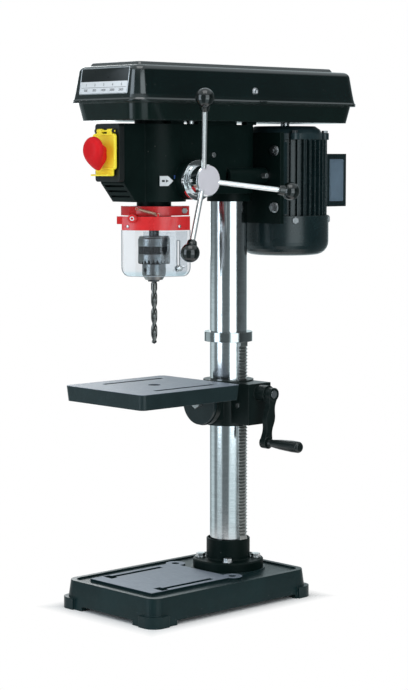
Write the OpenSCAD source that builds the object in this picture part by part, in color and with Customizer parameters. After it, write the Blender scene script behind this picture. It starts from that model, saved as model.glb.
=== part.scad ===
// Benchtop drill press: belt drive, rack-and-crank table, quill feed and swing-away chuck guard.
// Millimetres. The origin is midway between the two bench-bolt holes, at bench level.
// +X is the operator's right, -Y the operator's side and +Z up.

/* [Base] */
// Width of the base over its feet
base_w = 225; // [205:1:240]
// Length of the base over its feet
base_l = 352; // [335:1:380]
// Height of the base rim
base_h = 45; // [40:0.5:52]
// Wall of the base casting
base_wall = 9; // [7:0.5:12]
// Width of the machined plate on the base
plate_w = 146; // [142:1:150]
// Length of the machined plate
plate_l = 173; // [165:1:180]
// Distance of each base slot from the middle
base_slot_x = 60; // [50:1:61]
// Length of a base slot
base_slot_l = 116; // [95:1:120]
// Spacing of the bench-bolt holes
bolt_spacing = 134; // [120:1:138]
// Diameter of the bench-bolt holes
bolt_d = 13; // [9:0.5:15]
// Distance of the bench bolts behind the base's middle
bolt_setback = 34.5; // [30:0.5:40]

/* [Column] */
// Diameter of the column
column_d = 60; // [58:0.5:62]
// Wall of the column tube
column_wall = 3; // [2:0.5:5]
// Distance of the column behind the base's middle
column_back = 90.2; // [88:0.1:95]
// Distance from the column to the spindle
throat = 161.7; // [158:0.1:166]
// Height of the column's top
column_top = 748; // [735:1:750]
// Diameter of the column flange
flange_d = 115; // [112:1:120]
// Height of the socket above the bench
socket_top = 93; // [88:1:95]
// Thickness of the lift rack over its teeth
rack_t = 6.2; // [6:0.1:6.8]
// Module of the lift rack
rack_module = 1.7; // [1.6:0.05:1.75]
// Height of the rack collar's underside
collar_z = 416; // [415:1:425]
// Diameter of the rack collar
collar_d = 78; // [76:0.5:82]

/* [Table] */
// Width of the table
table_w = 184; // [176:1:196]
// Length of the table
table_l = 208; // [198:1:210]
// Height of the table's top
table_top = 356.5; // [352:0.5:358]
// Height of the table's rim
table_t = 24; // [22:0.5:26]
// Thickness of the table's slab
table_slab_t = 12; // [9:0.5:14]
// Distance of each table slot from the middle
table_slot_x = 60; // [54:1:66]
// Length of a table slot
table_slot_l = 125; // [110:1:140]
// Diameter of the hole under the spindle
table_hole_d = 20; // [16:0.5:24]
// Drop of the tilt axis below the table's rim
tilt_drop = 11.5; // [11:0.5:13]
// Height of the bracket collar's underside
bracket_z = 281; // [280:1:284]
// Height of the bracket collar
bracket_h = 73; // [71:1:74]
// Diameter of the bracket collar
bracket_d = 82; // [80:1:86]
// Reach of the gear housing from the column's axis
housing_x = 72; // [71:1:76]
// Height of the lift gear's axis
lift_gear_z = 316; // [315:0.5:317]
// Teeth of the lift gear
lift_gear_teeth = 14; // [13:1:14]
// Height of the crank's axis
crank_z = 337; // [336.5:0.5:338]
// Diameter of the worm shaft
worm_shaft_d = 12; // [10:0.5:13]
// Gap between the table's side and the crank arm
crank_gap = 1; // [1:0.5:5]
// Length of the crank arm between centres
crank_l = 77.5; // [66:0.5:84]
// Length of the crank grip
grip_l = 69; // [56:1:76]

/* [Head] */
// Height of the head's underside
head_z = 655; // [654:1:658]
// Height of the head casting
head_h = 108.5; // [108:0.5:112]
// Half width of the head's flat sides
head_side = 47; // [46:0.5:49]
// Distance of the head's rear from the column's axis
head_rear = 36.3; // [36:0.1:37]
// Radius of the quill housing
quill_housing_r = 50; // [49:0.5:52]
// Height of the quill housing's underside
quill_housing_z = 644; // [642:1:648]
// Diameter of the guard's nose boss
nose_d = 54; // [52:0.5:56]
// Height of the nose boss's lower end
nose_z = 618; // [616:1:620]
// Distance from the spindle to the head's front
front_reach = 85; // [83:0.5:88]
// Outer diameter of the pulley bearings
pulley_bearing_d = 42; // [40:0.5:44]
// Distance from the spindle to the feed shaft
feed_back = 28; // [27.8:0.1:28.2]
// Height of the feed shaft
feed_z = 677; // [675:0.5:679]
// Reach of the feed boss on the right
feed_boss_x = 66; // [62:0.5:68]
// Diameter of the slide rods
rod_d = 14; // [12:0.5:15]
// Distance of each slide rod from the middle
rod_x = 44; // [43.5:0.5:46]
// Height of the slide rods
rod_z = 683; // [680:1:690]

/* [Quill and chuck] */
// Diameter of the quill
quill_d = 40; // [39.5:0.1:40.5]
// Height of the quill's lower end
quill_z = 602; // [600:1:604]
// Room above the quill in the head
quill_room = 15; // [14:1:17]
// Teeth of the feed pinion
pinion_teeth = 14; // [14:1:15]
// Diameter of the spindle in its bearings
spindle_d = 15.5; // [15:0.5:17]
// Height of the chuck's lower end
chuck_z = 522; // [520:0.5:524]
// Diameter of the chuck's nose
chuck_nose_d = 37; // [36:0.5:38]
// Diameter of the chuck's sleeve
chuck_d = 50; // [49.5:0.5:52]
// Height of the chuck's top
chuck_top = 590.4; // [589:0.1:592]
// Diameter of the drill bit
bit_d = 8; // [7:0.5:9]
// Height of the drill bit's tip
bit_tip_z = 421; // [420:1:440]

/* [Feed levers] */
// Diameter of the lever hub
hub_d = 49; // [46:0.5:52]
// Diameter of the depth ring
depth_ring_d = 62; // [58:0.5:66]
// Diameter of a lever rod
lever_d = 8; // [7:0.5:9]
// Distance of a lever's ball from the shaft's axis
lever_reach = 134; // [120:1:138]
// Angle of the first lever
lever_turn = 112.5; // [100:0.5:120]
// Diameter of a lever's ball
ball_d = 29; // [26:0.5:32]
// Diameter of the return spring's cap
spring_cap_d = 62; // [60:0.5:66]
// Turns of the return spring
return_turns = 6; // [5:1:7]

/* [Belt cover] */
// Width of the cover at its flange lip
lip_w = 168; // [164:0.5:172]
// Length of the cover at its flange lip
lip_l = 495.5; // [490:0.5:500]
// Width of the lid at its lower edge
lid_w = 155; // [152:0.5:158]
// Gap between the head and the pan
pan_lift = 4.5; // [3:0.5:6]
// Height of the pan
pan_h = 29.5; // [28:0.5:31]
// Height of the lid's shoulder above the lip
shoulder_h = 53.5; // [52:0.5:56]
// Height of the raised panel above the shoulder
panel_h = 5.5; // [4:0.5:9]
// Inset of the raised panel
panel_inset = 20; // [16:1:24]
// Height of the pulleys above the head
pulley_lift = 27.5; // [27:0.5:28]
// Diameter of the smallest pulley step
step_min_d = 56; // [52:1:58]
// Distance of the idler from the spindle
idler_back = 140; // [138:1:144]

/* [Motor] */
// Distance of the motor behind the spindle
motor_back = 291; // [288:1:294]
// Outer radius over the cooling fins
fin_r = 70; // [68:0.5:72]
// Radius at the root of the fins
fin_root_r = 62; // [60:0.5:64]
// Cooling fins around the motor
fin_count = 39; // [30:1:42]
// Height of the motor body
motor_h = 124; // [120:1:128]
// Drop of the motor body below the head's top
motor_drop = 22.5; // [20:0.5:25]
// Radius of the fan cowl
cowl_r = 73; // [71:0.5:75]
// Width of the motor plate
motor_plate_w = 148; // [146:1:160]
// Height of the motor plate
motor_plate_h = 146; // [136:1:148]
// Height of the capacitor box
capacitor_h = 88; // [80:1:96]

/* [Switch] */
// Width of the switch box
switch_w = 56; // [54:1:60]
// Height of the switch box's lower edge
switch_z = 675; // [674:1:678]
// Height of the switch box
switch_h = 88; // [84:1:89]
// Width of the flap
flap_w = 52; // [48:1:53]
// Height of the flap
flap_h = 54; // [50:1:55]
// Diameter of the stop paddle's disc
paddle_d = 42; // [38:1:46]

/* [Guard] */
// Turn of the guard towards the right
guard_turn = 46.5; // [40:0.5:52]
// Height of the guard collar's lower edge
guard_collar_z = 622.5; // [622:0.5:624]
// Radius of the guard's band
band_r = 80; // [78:0.5:82]
// Height of the band's lower edge
band_z = 600.7; // [600:0.1:602]
// Height of the shield's lower edge
shield_z = 530; // [526:1:536]
// Curls of the guard's spring
spring_curls = 14; // [10:1:16]
// Outer diameter of the guard's spring
spring_d = 5; // [4.6:0.1:5.4]

/* [Fits] */
// Radial clearance of running and seated fits
fit = 0.05; // [0.03:0.01:0.08]
// Gap between moving faces
gap = 0.3; // [0.25:0.05:0.4]

/* [Hidden] */
$fn = 48;
hull_fn = 32;

paint = [0.09, 0.1, 0.1];
steel = [0.72, 0.73, 0.75];
machined = [0.55, 0.58, 0.6];
black = [0.05, 0.05, 0.06];
red = [0.75, 0.09, 0.08];
yellow = [0.93, 0.75, 0.08];
clear = [0.85, 0.9, 0.92, 0.4];
iron = [0.3, 0.3, 0.31];

// Smaller dimensions
foot_step_h = 18;
foot_pad_l = 34;
foot_front_l = 53;
foot_rear_l = 38;
plate_gap = 3.2;
plate_rise = 1.5;
slot_entry_w = 22;
slot_entry_l = 14;
flange_bolt_circle = 90;
flange_bolt_d = 8;
table_rim_t = 8;
table_draft = 2;
table_r = 9;
table_boss_d = 44;
tilt_flange_t = 6;
bracket_flange_t = 9;
tilt_bolt_d = 12;
lift_gear_w = 12;
gear_pin_d = 8;
worm_l = 19;
crank_t = 12;
crank_lean = 9;
crank_end_d = 19;
crank_neck = 6;
crank_bulge = 3.2;
worm_boss_d = 26;
grip_root_d = 13;
grip_axle_d = 6;
lock_d = 10;
chin_z = 673;
chin_reach = 61;
column_boss_z = 642;
pulley_bearing_w = 12;
pinion_r = 10;
quill_bearing_w = 9;
spline_d = 14;
chuck_nose_h = 24.7;
depth_ring_w = 5.4;
lip_t = 2.5;
pan_margin = 6.5;
panel_rear = 45;
step_h = 12;
idler_pivot_x = 34;
idler_post_d = 16;
belt_w = 5.6;
belt_t = 8;
motor_plate_t = 8;
motor_plate_back = 78;
switch_t = 10;
flap_t = 3;
guard_collar_h = 14.5;
band_back = 25;
skirt_r = 53;
skirt_back = 13;
pivot_x = 32;
pivot_z = 619;
pivot_d = 6;
base_slot_rear = 38;
rim_depth = 3;
arch_h = 7;
lever_tilt = 22.9;
capacitor_reach = 125;
spring_cap_w = 24;
lip_front = 107.2;
base_r = 20;
base_draft = 4.5;
base_floor_t = 10.5;
rim_w = 8;
foot_step = 3.5;
foot_w = 52;
base_slot_w = 10;
bolt_boss_d = 32;
flange_t = 15;
socket_d = 71;
rack_w = 16;
collar_h = 15.5;
table_slot_w = 9;
tilt_r = 36.5;
crank_hub_d = 21;
grip_end_d = 18.5;
lock_bar_l = 78;
housing_w = 50;
front_half_w = 27;
column_boss_d = 70;
bearing_boss_h = 25;
feed_d = 24;
feed_boss_d = 60;
quill_bore_d = 22;
quill_bearing_d = 28;
flute_l = 84;
jaw_lean = 12;
jaw_d = 7.6;
hub_l = 23;
cover_t = 2;
cover_r = 25;
pan_w = 144;
step_rise = 18;
bell_h = 22;
cowl_h = 65;
motor_shaft_d = 15;
capacitor_w = 54;
guard_left = 48.5;
guard_right = 56.5;
shield_t = 2;
band_h = 21.3;
guard_collar_d = 66;
spring_wire_d = 0.8;
paddle_reach = 31;
hinge_spread = 150;
jaw_bore_l = 75;
extension_l = 68;
flute_pitch = 6.4;

// Places in the shared frame
base_c = -bolt_setback;
column_y = base_c + column_back;
spindle_y = column_y - throat;
feed_y = spindle_y + feed_back;
idler_y = spindle_y + idler_back;
motor_y = spindle_y + motor_back;
head_top = head_z + head_h;
pan_z = head_top + pan_lift;
lip_z = pan_z + pan_h;
lid_shoulder = lip_z + shoulder_h;
lid_top = lid_shoulder + panel_h;
pulley_z = head_top + pulley_lift;
motor_top = head_top - motor_drop;
motor_z = motor_top - motor_h;
quill_l = head_top - quill_room - quill_z;

// Base
base_top_w = base_w - 2*(foot_step + base_draft);
base_top_l = base_l - 2*(foot_step + base_draft);
base_floor = base_h - rim_depth;
base_hollow_h = base_floor - base_floor_t;
plate_top = base_h + plate_rise;
plate_front_y = column_y - flange_d/2 - plate_gap - plate_l;
pad_r = flange_d/2 + 3;
pad_top = base_h - 0.5;
flange_top = pad_top + flange_t;
flange_bolt_l = 26;

// Column and rack
column_r = column_d/2;
bracket_bore_r = column_r + 0.35;
tongue_t = 2.5;
tongue_l = 7;
lip_room = gap + tongue_t + gap;
rack_back_r = column_r + gap;
rack_tip_r = column_r + rack_t;
rack_pitch_r = rack_tip_r - rack_module;
rack_pitch = PI*rack_module;
rack_bottom = socket_top + gap;
rack_top = collar_z - gap;

// Table bracket
bracket_top = bracket_z + bracket_h;
lift_gear_r = rack_module*lift_gear_teeth/2;
lift_gear_x = rack_pitch_r + lift_gear_r;
gear_tip_r = lift_gear_r + rack_module;
worm_r = crank_z - lift_gear_z - gear_tip_r - gap;
worm_offset = 0.9;
worm_x = rack_tip_r + 1.3;
housing_z = bracket_z + 5;
housing_top = bracket_top - 2;
ear_w = 26;
ear_y = column_y + bracket_d/2 + 11;
ear_z = bracket_z + bracket_h/2;
ear_h = 40;
split_w = 2.5;
table_bottom = table_top - table_t;
tilt_z = table_bottom - tilt_drop;
table_c = spindle_y - 3;
table_rear = table_c + table_l/2;
bracket_face = table_rear + gap;
bracket_flange_rear = bracket_face + bracket_flange_t;
flange_cut_z = table_top - table_slab_t + 2;
tilt_head_r = 10;
tilt_head_t = 7.5;
crank_x = table_w/2 + crank_gap;
grip_x = crank_x + crank_t + gap;

// Head
quill_bore_r = quill_d/2 + fit;
quill_top = quill_z + quill_l;
quill_bore_top = quill_top + 4;
bearing_seat_z = head_top + bearing_boss_h - 2*pulley_bearing_w - 6;
pinion_module = 2*pinion_r/pinion_teeth;
pinion_pitch = PI*pinion_module;
quill_rack_y = feed_back - pinion_r;
pinion_half_w = 9;
journal_x = 13;
spring_boss_x = head_side + 3;
head_rear_c = column_y + head_rear - head_side;
rod_boss_r = rod_d/2 + 6;
rod_rear = column_y + head_rear - 2;
rod_front = column_y - 50;
lock_y = column_y + 21;
cavity_half_w = 34;
cavity_front = spindle_y + 56;
cavity_l = 62;
front_y = spindle_y - front_reach;
pan_screw_x = (head_side + cavity_half_w)/2;
pan_screw_ys = [spindle_y + 40, column_y - 46];
side_screw_y = spindle_y + 82;
side_screw_z = 716;
column_screw_zs = [head_z + 9, head_top - 30];

// Chuck
chuck_core_r = 17;
chuck_cavity_r = chuck_d/2 - 1.8;
sleeve_z = chuck_z + chuck_nose_h + gap;
sleeve_top = chuck_top - 2.4;
bit_r = bit_d/2;
jaw_r = jaw_d/2;
jaw_axis_r = bit_r + 2.5;
jaw_out = 3;
jaw_l = 38;
shank_top = chuck_z + 38;
spindle_r = spindle_d/2;
spindle_socket_z = chuck_top - 16;

// Feed
hub_x = feed_boss_x + 6;
hub_mid_x = hub_x + hub_l/2;
hub_bore_r = 9;
hub_spigot_r = 14;
lever_t = lever_reach/cos(lever_tilt);
lever_start = 13;
spring_cap_t = 2;
spring_x = -(spring_boss_x + 4);
spring_w = spring_cap_w - 8;
arbor_r = 6;
strip_t = 0.8;

// Belt cover
lip_front_y = spindle_y - lip_front;
cover_c = lip_front_y + lip_l/2;
pan_l = lip_l - 2*pan_margin;
pan_flare = (lid_w - pan_w)/2;
lid_z = lip_z + gap;
hinge_r = 4;
hinge_pin_r = 2;
hinge_x = -(lip_w/2 + hinge_r);
hinge_z = lip_z + 2.5;
hinge_ys = [cover_c - hinge_spread, cover_c + hinge_spread];
knuckle_l = 24;
pan_ear_l = 8;
motor_slide_back = 15;
motor_slide_front = 6;
groove_d = 7;
groove_half_root = 3.1;
groove_half_top = 5.2;
front_belt_step = 1;
rear_belt_step = 2;
idler_arm_z = pulley_z - gap - 12;
sleeve_r = 12.5;

// Motor
shaft_r = motor_shaft_d/2;
motor_shell_r = 52;
motor_floor_t = 8;
plate_y = motor_y - motor_plate_back;
plate_front = plate_y - motor_plate_t;
plate_z = (motor_z + motor_top)/2 - motor_plate_h/2;
motor_bolt_x = 62;
motor_bolt_zs = [motor_z + 15, motor_top - 18];
foot_t = 10;
cowl_t = 1.8;
cowl_round = 22;
cowl_z = motor_z - cowl_h;
tie_r = fin_root_r + 6;
tie_angles = [58:90:328];
capacitor_z = (motor_z + motor_top)/2 - capacitor_h/2 - 5;

// Switch
switch_front = front_y - switch_t;
flap_pivot_y = switch_front - 3.5;
flap_pivot_z = switch_z + switch_h - 11;
flap_back = switch_front - 3.2;
flap_z = flap_pivot_z - 4 - flap_h;
flap_pin_r = 1.6;
flap_knuckle_r = 3.2;
ear_x = 20;
ear_t = 4;
button_r = 8;
button_zs = [flap_z + 38, flap_z + 16];

// Guard
guard_collar_r = nose_d/2 + fit;
guard_top = guard_collar_z + guard_collar_h;
clamp_x = guard_collar_d/2 + 15;
band_t = 2;
shield_r = band_r - fit;
extension_r = shield_r - shield_t - gap;
shield_top = band_z + band_h - 2;
tab_front = 33;
pivot_boss_r = 7;
wing_x = 40;
wing_z = shield_z + 12;
slot_half_w = 2.6;
slot_z = wing_z - slot_half_w;
slot_l = 46;
rivet_xs = [-38, 39.5];
rivet_z = band_z + 6;
anchor_y = -46;
anchor_r = 1.5;
anchor_a = [-25, anchor_y, guard_top - 3.5];
anchor_b = [8, anchor_y, band_z + band_h + 2.5];

// Shared shapes
module rounded_square(size, r) {
    square([size[0] - 2*r, size[1]], center = true);
    square([size[0], size[1] - 2*r], center = true);
    for (x = [-1, 1], y = [-1, 1])
        translate([x*(size[0]/2 - r), y*(size[1]/2 - r)]) circle(r);
}

module slab(size, r, z, t) {
    translate([0, 0, z]) linear_extrude(t) rounded_square(size, r, $fn = hull_fn);
}

module tapered_block(low, high, h, r) {
    sheet_t = 0.01;
    hull() {
        slab(low, r, 0, sheet_t);
        slab(high, r, h - sheet_t, sheet_t);
    }
}

module along_x(x, y, z, l, r) {
    translate([x, y, z]) rotate([0, 90, 0]) cylinder(h = l, r = r);
}

module along_y(x, y, z, l, r) {
    translate([x, y, z]) rotate([-90, 0, 0]) cylinder(h = l, r = r);
}

module upright(x, y, z, l, r) {
    translate([x, y, z]) cylinder(h = l, r = r);
}

module box(low, high) {
    translate(low) cube(high - low);
}

module hex_prism(r, h) {
    cylinder(h = h, r = r, $fn = 6);
}

// Two circles joined by tangents, at the origin and [0, d]
module tangent_link(r1, r2, d) {
    lean = asin((r1 - r2)/d);
    circle(r1);
    translate([0, d]) circle(r2);
    polygon([
        [r1*cos(lean), r1*sin(lean)], [r2*cos(lean), d + r2*sin(lean)],
        [-r2*cos(lean), d + r2*sin(lean)], [-r1*cos(lean), r1*sin(lean)]
    ]);
}

pressure_tan = tan(20);
tooth_play = 0.35;
function polar(r, a) = [r*cos(a), r*sin(a)];
function tooth_turn(width, r) = width/2/r*180/PI;

// One spur-gear tooth, narrowed at the tip
function tooth_points(m, n, k) =
    let (rp = m*n/2, tip = rp + 0.9*m, root = rp - 1.2*m, w = PI*m/2 - tooth_play,
         w_tip = w - 2*0.9*m*pressure_tan - 0.1, w_root = 0.86*w, a = 360*k/n)
    [
        polar(root, a - tooth_turn(w_root, root)), polar(rp, a - tooth_turn(w, rp)),
        polar(tip, a - tooth_turn(w_tip, tip)), polar(tip, a + tooth_turn(w_tip, tip)),
        polar(rp, a + tooth_turn(w, rp)), polar(root, a + tooth_turn(w_root, root))
    ];

module gear_2d(m, n) {
    polygon([for (k = [0:n - 1]) each tooth_points(m, n, k)]);
}

// A gap of a rack: [depth, position] pairs from tip to root and back
function rack_gap(m, tip, at) =
    let (w = PI*m/2 + tooth_play, root = tip - 2.15*m,
         half_tip = w/2 + m*pressure_tan, half_root = w/2 - 1.15*m*pressure_tan)
    [[tip, at - half_tip], [root, at - half_root], [root, at + half_root], [tip, at + half_tip]];

module step_pulley(diameters, bore_r, hub_r, hub_low) {
    top = len(diameters)*step_h;
    rim = [for (k = [0:len(diameters) - 1])
        let (r = diameters[k]/2, z = k*step_h, mid = z + step_h/2)
        each [
            [r, z], [r, mid - groove_half_top], [r - groove_d, mid - groove_half_root],
            [r - groove_d, mid + groove_half_root], [r, mid + groove_half_top], [r, z + step_h]
        ]];
    rotate_extrude() polygon(concat(
        [[bore_r, -hub_low], [hub_r, -hub_low], [hub_r, 0]], rim, [[bore_r, top]]));
}

step_ds = [for (k = [0:3]) step_min_d + k*step_rise];
step_ds_down = [for (k = [0:3]) step_ds[3 - k]];
function belt_root_r(d) = d/2 - groove_d + gap;

// A taut loop around circles at the origin and [0, d]
function loop_points(r1, r2, d, n = 20) =
    let (lean = asin((r1 - r2)/d), far_arc = 180 - 2*lean, near_arc = 180 + 2*lean)
    concat([for (i = [0:n]) [0, d] + polar(r2, lean + far_arc*i/n)],
        [for (i = [0:n]) polar(r1, 180 - lean + near_arc*i/n)]);

module belt_loop(d1, d2, y1, y2, step) {
    r1 = belt_root_r(d1);
    r2 = belt_root_r(d2);
    translate([0, y1, pulley_z + (step + 0.5)*step_h - belt_w/2]) linear_extrude(belt_w) difference() {
        polygon(loop_points(r1 + belt_t, r2 + belt_t, y2 - y1));
        polygon(loop_points(r1 + 0.2, r2 + 0.2, y2 - y1));
    }
}

// Base and column
module base_foot_pads() {
    intersection() {
        linear_extrude(foot_step_h) rounded_square([base_w, base_l], base_r);
        for (x = [-1, 1], y = [-1, 1])
            translate([x*(base_w - foot_pad_l)/2, y*(base_l - foot_pad_l)/2, foot_step_h/2])
                cube([foot_pad_l, foot_pad_l, foot_step_h], center = true);
    }
}

module base_shell() {
    hollow = [base_w - 2*(foot_step + base_wall), base_l - 2*(foot_step + base_wall)];
    difference() {
        union() {
            tapered_block([base_w - 2*foot_step, base_l - 2*foot_step],
                [base_top_w, base_top_l], base_h, base_r);
            base_foot_pads();
        }
        translate([0, 0, -1]) tapered_block(hollow, hollow - 2*[base_draft, base_draft],
            base_hollow_h + 1, base_r - base_wall);
        translate([0, 0, base_floor]) linear_extrude(rim_depth + 1)
            rounded_square([base_top_w - 2*rim_w, base_top_l - 2*rim_w], base_r - rim_w/2);
        box([foot_w - base_w/2, -base_l, -1], [base_w/2 - foot_w, base_l, arch_h]);
        box([-base_w, foot_front_l - base_l/2, -1], [base_w, base_l/2 - foot_rear_l, arch_h]);
    }
}

module base_slots() {
    for (x = [-1, 1]) {
        box([x*base_slot_x - base_slot_w/2, -base_slot_rear - base_slot_l, base_hollow_h - 1],
            [x*base_slot_x + base_slot_w/2, -base_slot_rear, plate_top + 1]);
        box([x*base_slot_x - slot_entry_w/2, -base_slot_rear - base_slot_l, base_hollow_h - 1],
            [x*base_slot_x + slot_entry_w/2, slot_entry_l - base_slot_rear - base_slot_l,
                plate_top + 1]);
    }
}

module flange_bolt_places() {
    for (a = [45:90:315])
        translate([0, column_y, 0]) rotate(a) translate([flange_bolt_circle/2, 0, 0]) children();
}

module base_casting() {
    color(paint) difference() {
        union() {
            translate([0, base_c, 0]) base_shell();
            box([-plate_w/2, plate_front_y, base_hollow_h], [plate_w/2, plate_front_y + plate_l, plate_top]);
            upright(0, column_y, base_hollow_h - 4, pad_top - base_hollow_h + 4, pad_r);
            for (x = [-1, 1])
                upright(x*bolt_spacing/2, 0, 0, plate_top, bolt_boss_d/2);
        }
        base_slots();
        for (x = [-1, 1])
            upright(x*bolt_spacing/2, 0, -1, plate_top + 2, bolt_d/2);
        flange_bolt_places() upright(0, 0, -1, base_h + 2, flange_bolt_d/2 + fit);
    }
}

module column_flange() {
    bore = column_r + fit;
    socket_r = socket_d/2;
    groove_r = column_r + lip_room;
    groove_z = socket_top - tongue_l - gap;
    color(paint) difference() {
        translate([0, column_y, 0]) rotate_extrude() polygon([
            [bore, pad_top], [flange_d/2, pad_top], [flange_d/2, flange_top - 2],
            [flange_d/2 - 2, flange_top], [socket_r + 1, flange_top], [socket_r, flange_top + 1.5],
            [socket_r, socket_top - 1], [socket_r - 1, socket_top], [groove_r, socket_top],
            [groove_r, groove_z], [bore, groove_z]
        ]);
        flange_bolt_places() upright(0, 0, pad_top - 1, flange_t + 2, flange_bolt_d/2 + fit);
    }
}

module hex_bolt(d, l) {
    translate([0, 0, -l]) cylinder(h = l, r = d/2);
    cylinder(h = 1.4, r = d*1.05);
    translate([0, 0, 1.4]) hex_prism(d*0.93, d*0.65);
}

module flange_bolts() {
    color(steel) flange_bolt_places() translate([0, 0, flange_top]) hex_bolt(flange_bolt_d, flange_bolt_l);
}

module column_tube() {
    color(steel) translate([0, column_y, 0]) difference() {
        upright(0, 0, pad_top, column_top - pad_top, column_r);
        upright(0, 0, pad_top - 1, column_top, column_r - column_wall);
    }
}

module rack_collar() {
    screw_r = 3 + fit;
    color(steel) translate([0, column_y, 0]) difference() {
        upright(0, 0, collar_z, collar_h, collar_d/2);
        upright(0, 0, collar_z - 1, collar_h + 2, column_r + fit);
        upright(0, 0, collar_z - 1, tongue_l + gap + 1, column_r + lip_room);
        rotate(guard_turn + 90) along_x(0, 0, collar_z + collar_h - 2.9, collar_d, screw_r - 1);
    }
}

module rack_bar() {
    first = ceil((rack_bottom + rack_pitch - lift_gear_z)/rack_pitch);
    last = floor((rack_top - rack_pitch - lift_gear_z)/rack_pitch);
    teeth = [for (i = [first:last]) each rack_gap(rack_module, rack_tip_r, lift_gear_z + i*rack_pitch)];
    outline = concat([[column_r - 2, rack_bottom], [rack_tip_r, rack_bottom]], teeth,
        [[rack_tip_r, rack_top], [column_r - 2, rack_top]]);
    color(iron) translate([0, column_y, 0]) difference() {
        union() {
            rotate([90, 0, 0]) translate([0, 0, -rack_w/2]) linear_extrude(rack_w) polygon(outline);
            intersection() {
                upright(0, 0, rack_bottom - tongue_l, rack_top - rack_bottom + 2*tongue_l,
                    rack_back_r + tongue_t);
                box([0, -rack_w/2, 0], [rack_tip_r, rack_w/2, column_top]);
            }
        }
        upright(0, 0, 0, column_top, rack_back_r);
    }
}

// Table and its bracket
module gear_pocket() {
    room = gear_tip_r + gap + 0.5;
    half_w = lift_gear_w/2 + gap;
    along_y(lift_gear_x, -half_w, lift_gear_z, 2*half_w, room);
    box([rack_tip_r - 3, -half_w, bracket_z - 1], [lift_gear_x + room, half_w, lift_gear_z]);
    along_x(worm_x - gap, 0, crank_z, worm_l + 2*gap, worm_r + gap);
    box([worm_x - gap, -worm_r, lift_gear_z], [worm_x + worm_l + gap, worm_r, crank_z]);
    along_x(worm_x, 0, crank_z, housing_x, worm_shaft_d/2 + fit);
}

module bracket_body() {
    arm_x = 24;
    arm_t = 11;
    upright(0, 0, bracket_z, bracket_h, bracket_d/2);
    box([column_r, -housing_w/2, housing_z], [housing_x, housing_w/2, housing_top]);
    along_x(housing_x - 1, 0, crank_z, crank_x - gap - housing_x + 1, worm_boss_d/2);
    box([-ear_w/2, column_r + 5, ear_z - ear_h/2], [ear_w/2, ear_y - column_y + 10, ear_z + ear_h/2]);
    for (x = [-1, 1])
        translate([x*(arm_x - arm_t/2), 0, 0])
            box([-arm_t/2, bracket_face + bracket_flange_t/2 - column_y, tilt_z - 30],
                [arm_t/2, -column_r, flange_cut_z]);
}

module table_bracket() {
    color(paint) difference() {
        union() {
            translate([0, column_y, 0]) bracket_body();
            intersection() {
                along_y(0, bracket_face, tilt_z, bracket_flange_t, tilt_r + 1.5);
                box([-base_w, bracket_face - 1, 0], [base_w, column_y, flange_cut_z]);
            }
        }
        translate([0, column_y, 0]) {
            upright(0, 0, bracket_z - 1, bracket_h + 2, bracket_bore_r);
            box([0, -rack_w/2 - gap - 0.4, bracket_z - 1],
                [rack_tip_r + gap + 0.5, rack_w/2 + gap + 0.4, bracket_top + 1]);
            gear_pocket();
            along_y(lift_gear_x, -housing_w, lift_gear_z, 2*housing_w, gear_pin_d/2 + fit);
            box([-split_w/2, 0, bracket_z - 1], [split_w/2, column_d, bracket_top + 1]);
        }
        along_x(-ear_w, ear_y, ear_z, 2*ear_w, lock_d/2 + fit);
        along_y(0, bracket_face - 1, tilt_z, bracket_flange_t + 2, tilt_bolt_d/2 + fit);
    }
}

module bracket_pins() {
    nut_t = 7;
    head_y = table_rear - tilt_flange_t - gap;
    color(steel) {
        along_y(lift_gear_x, column_y - housing_w/2, lift_gear_z, housing_w, gear_pin_d/2);
        along_y(0, head_y, tilt_z, bracket_flange_rear - head_y + nut_t + 1, tilt_bolt_d/2);
        translate([0, head_y, tilt_z]) rotate([90, 30, 0]) hex_prism(tilt_head_r, tilt_head_t);
        translate([0, bracket_flange_rear + nut_t, tilt_z]) rotate([90, 30, 0])
            hex_prism(tilt_head_r, nut_t);
    }
}

module lift_gear() {
    color(iron) translate([lift_gear_x, column_y + lift_gear_w/2, lift_gear_z]) rotate([90, 0, 0])
        difference() {
            linear_extrude(lift_gear_w) rotate(180) gear_2d(rack_module, lift_gear_teeth);
            translate([0, 0, -1]) cylinder(h = lift_gear_w + 2, r = gear_pin_d/2 + fit);
        }
}

module worm_shaft() {
    color(iron) {
        translate([worm_x, column_y, crank_z]) rotate([0, 90, 0])
            linear_extrude(worm_l, twist = -360*worm_l/rack_pitch, slices = 30, $fn = 12)
                translate([worm_offset, 0]) circle(worm_r - worm_offset, $fn = 12);
        along_x(worm_x + worm_l, column_y, crank_z, crank_x + crank_t - worm_x - worm_l, worm_shaft_d/2);
    }
}

// Half the width of the crank arm at the share t of its length
function crank_half(t) = crank_neck + crank_bulge*pow(cos(360*t), 2);

module crank_arm() {
    steps = 24;
    side = [for (i = [0:steps]) [crank_half(i/steps), -crank_l*i/steps]];
    other = [for (i = [steps:-1:0]) [-side[i][0], side[i][1]]];
    color(paint) translate([crank_x, column_y, crank_z]) rotate([-crank_lean, 0, 0]) rotate([90, 0, 90]) {
        difference() {
            union() {
                translate([0, 0, 1]) linear_extrude(crank_t - 2) polygon(concat(side, other));
                cylinder(h = crank_t, r = crank_hub_d/2);
                translate([0, -crank_l, 0]) cylinder(h = crank_t, r = crank_end_d/2);
            }
            translate([0, 0, -1]) cylinder(h = crank_t + 2, r = worm_shaft_d/2 + fit);
        }
        translate([0, -crank_l, crank_t - 1]) cylinder(h = grip_l + 2, r = grip_axle_d/2);
    }
}

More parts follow.
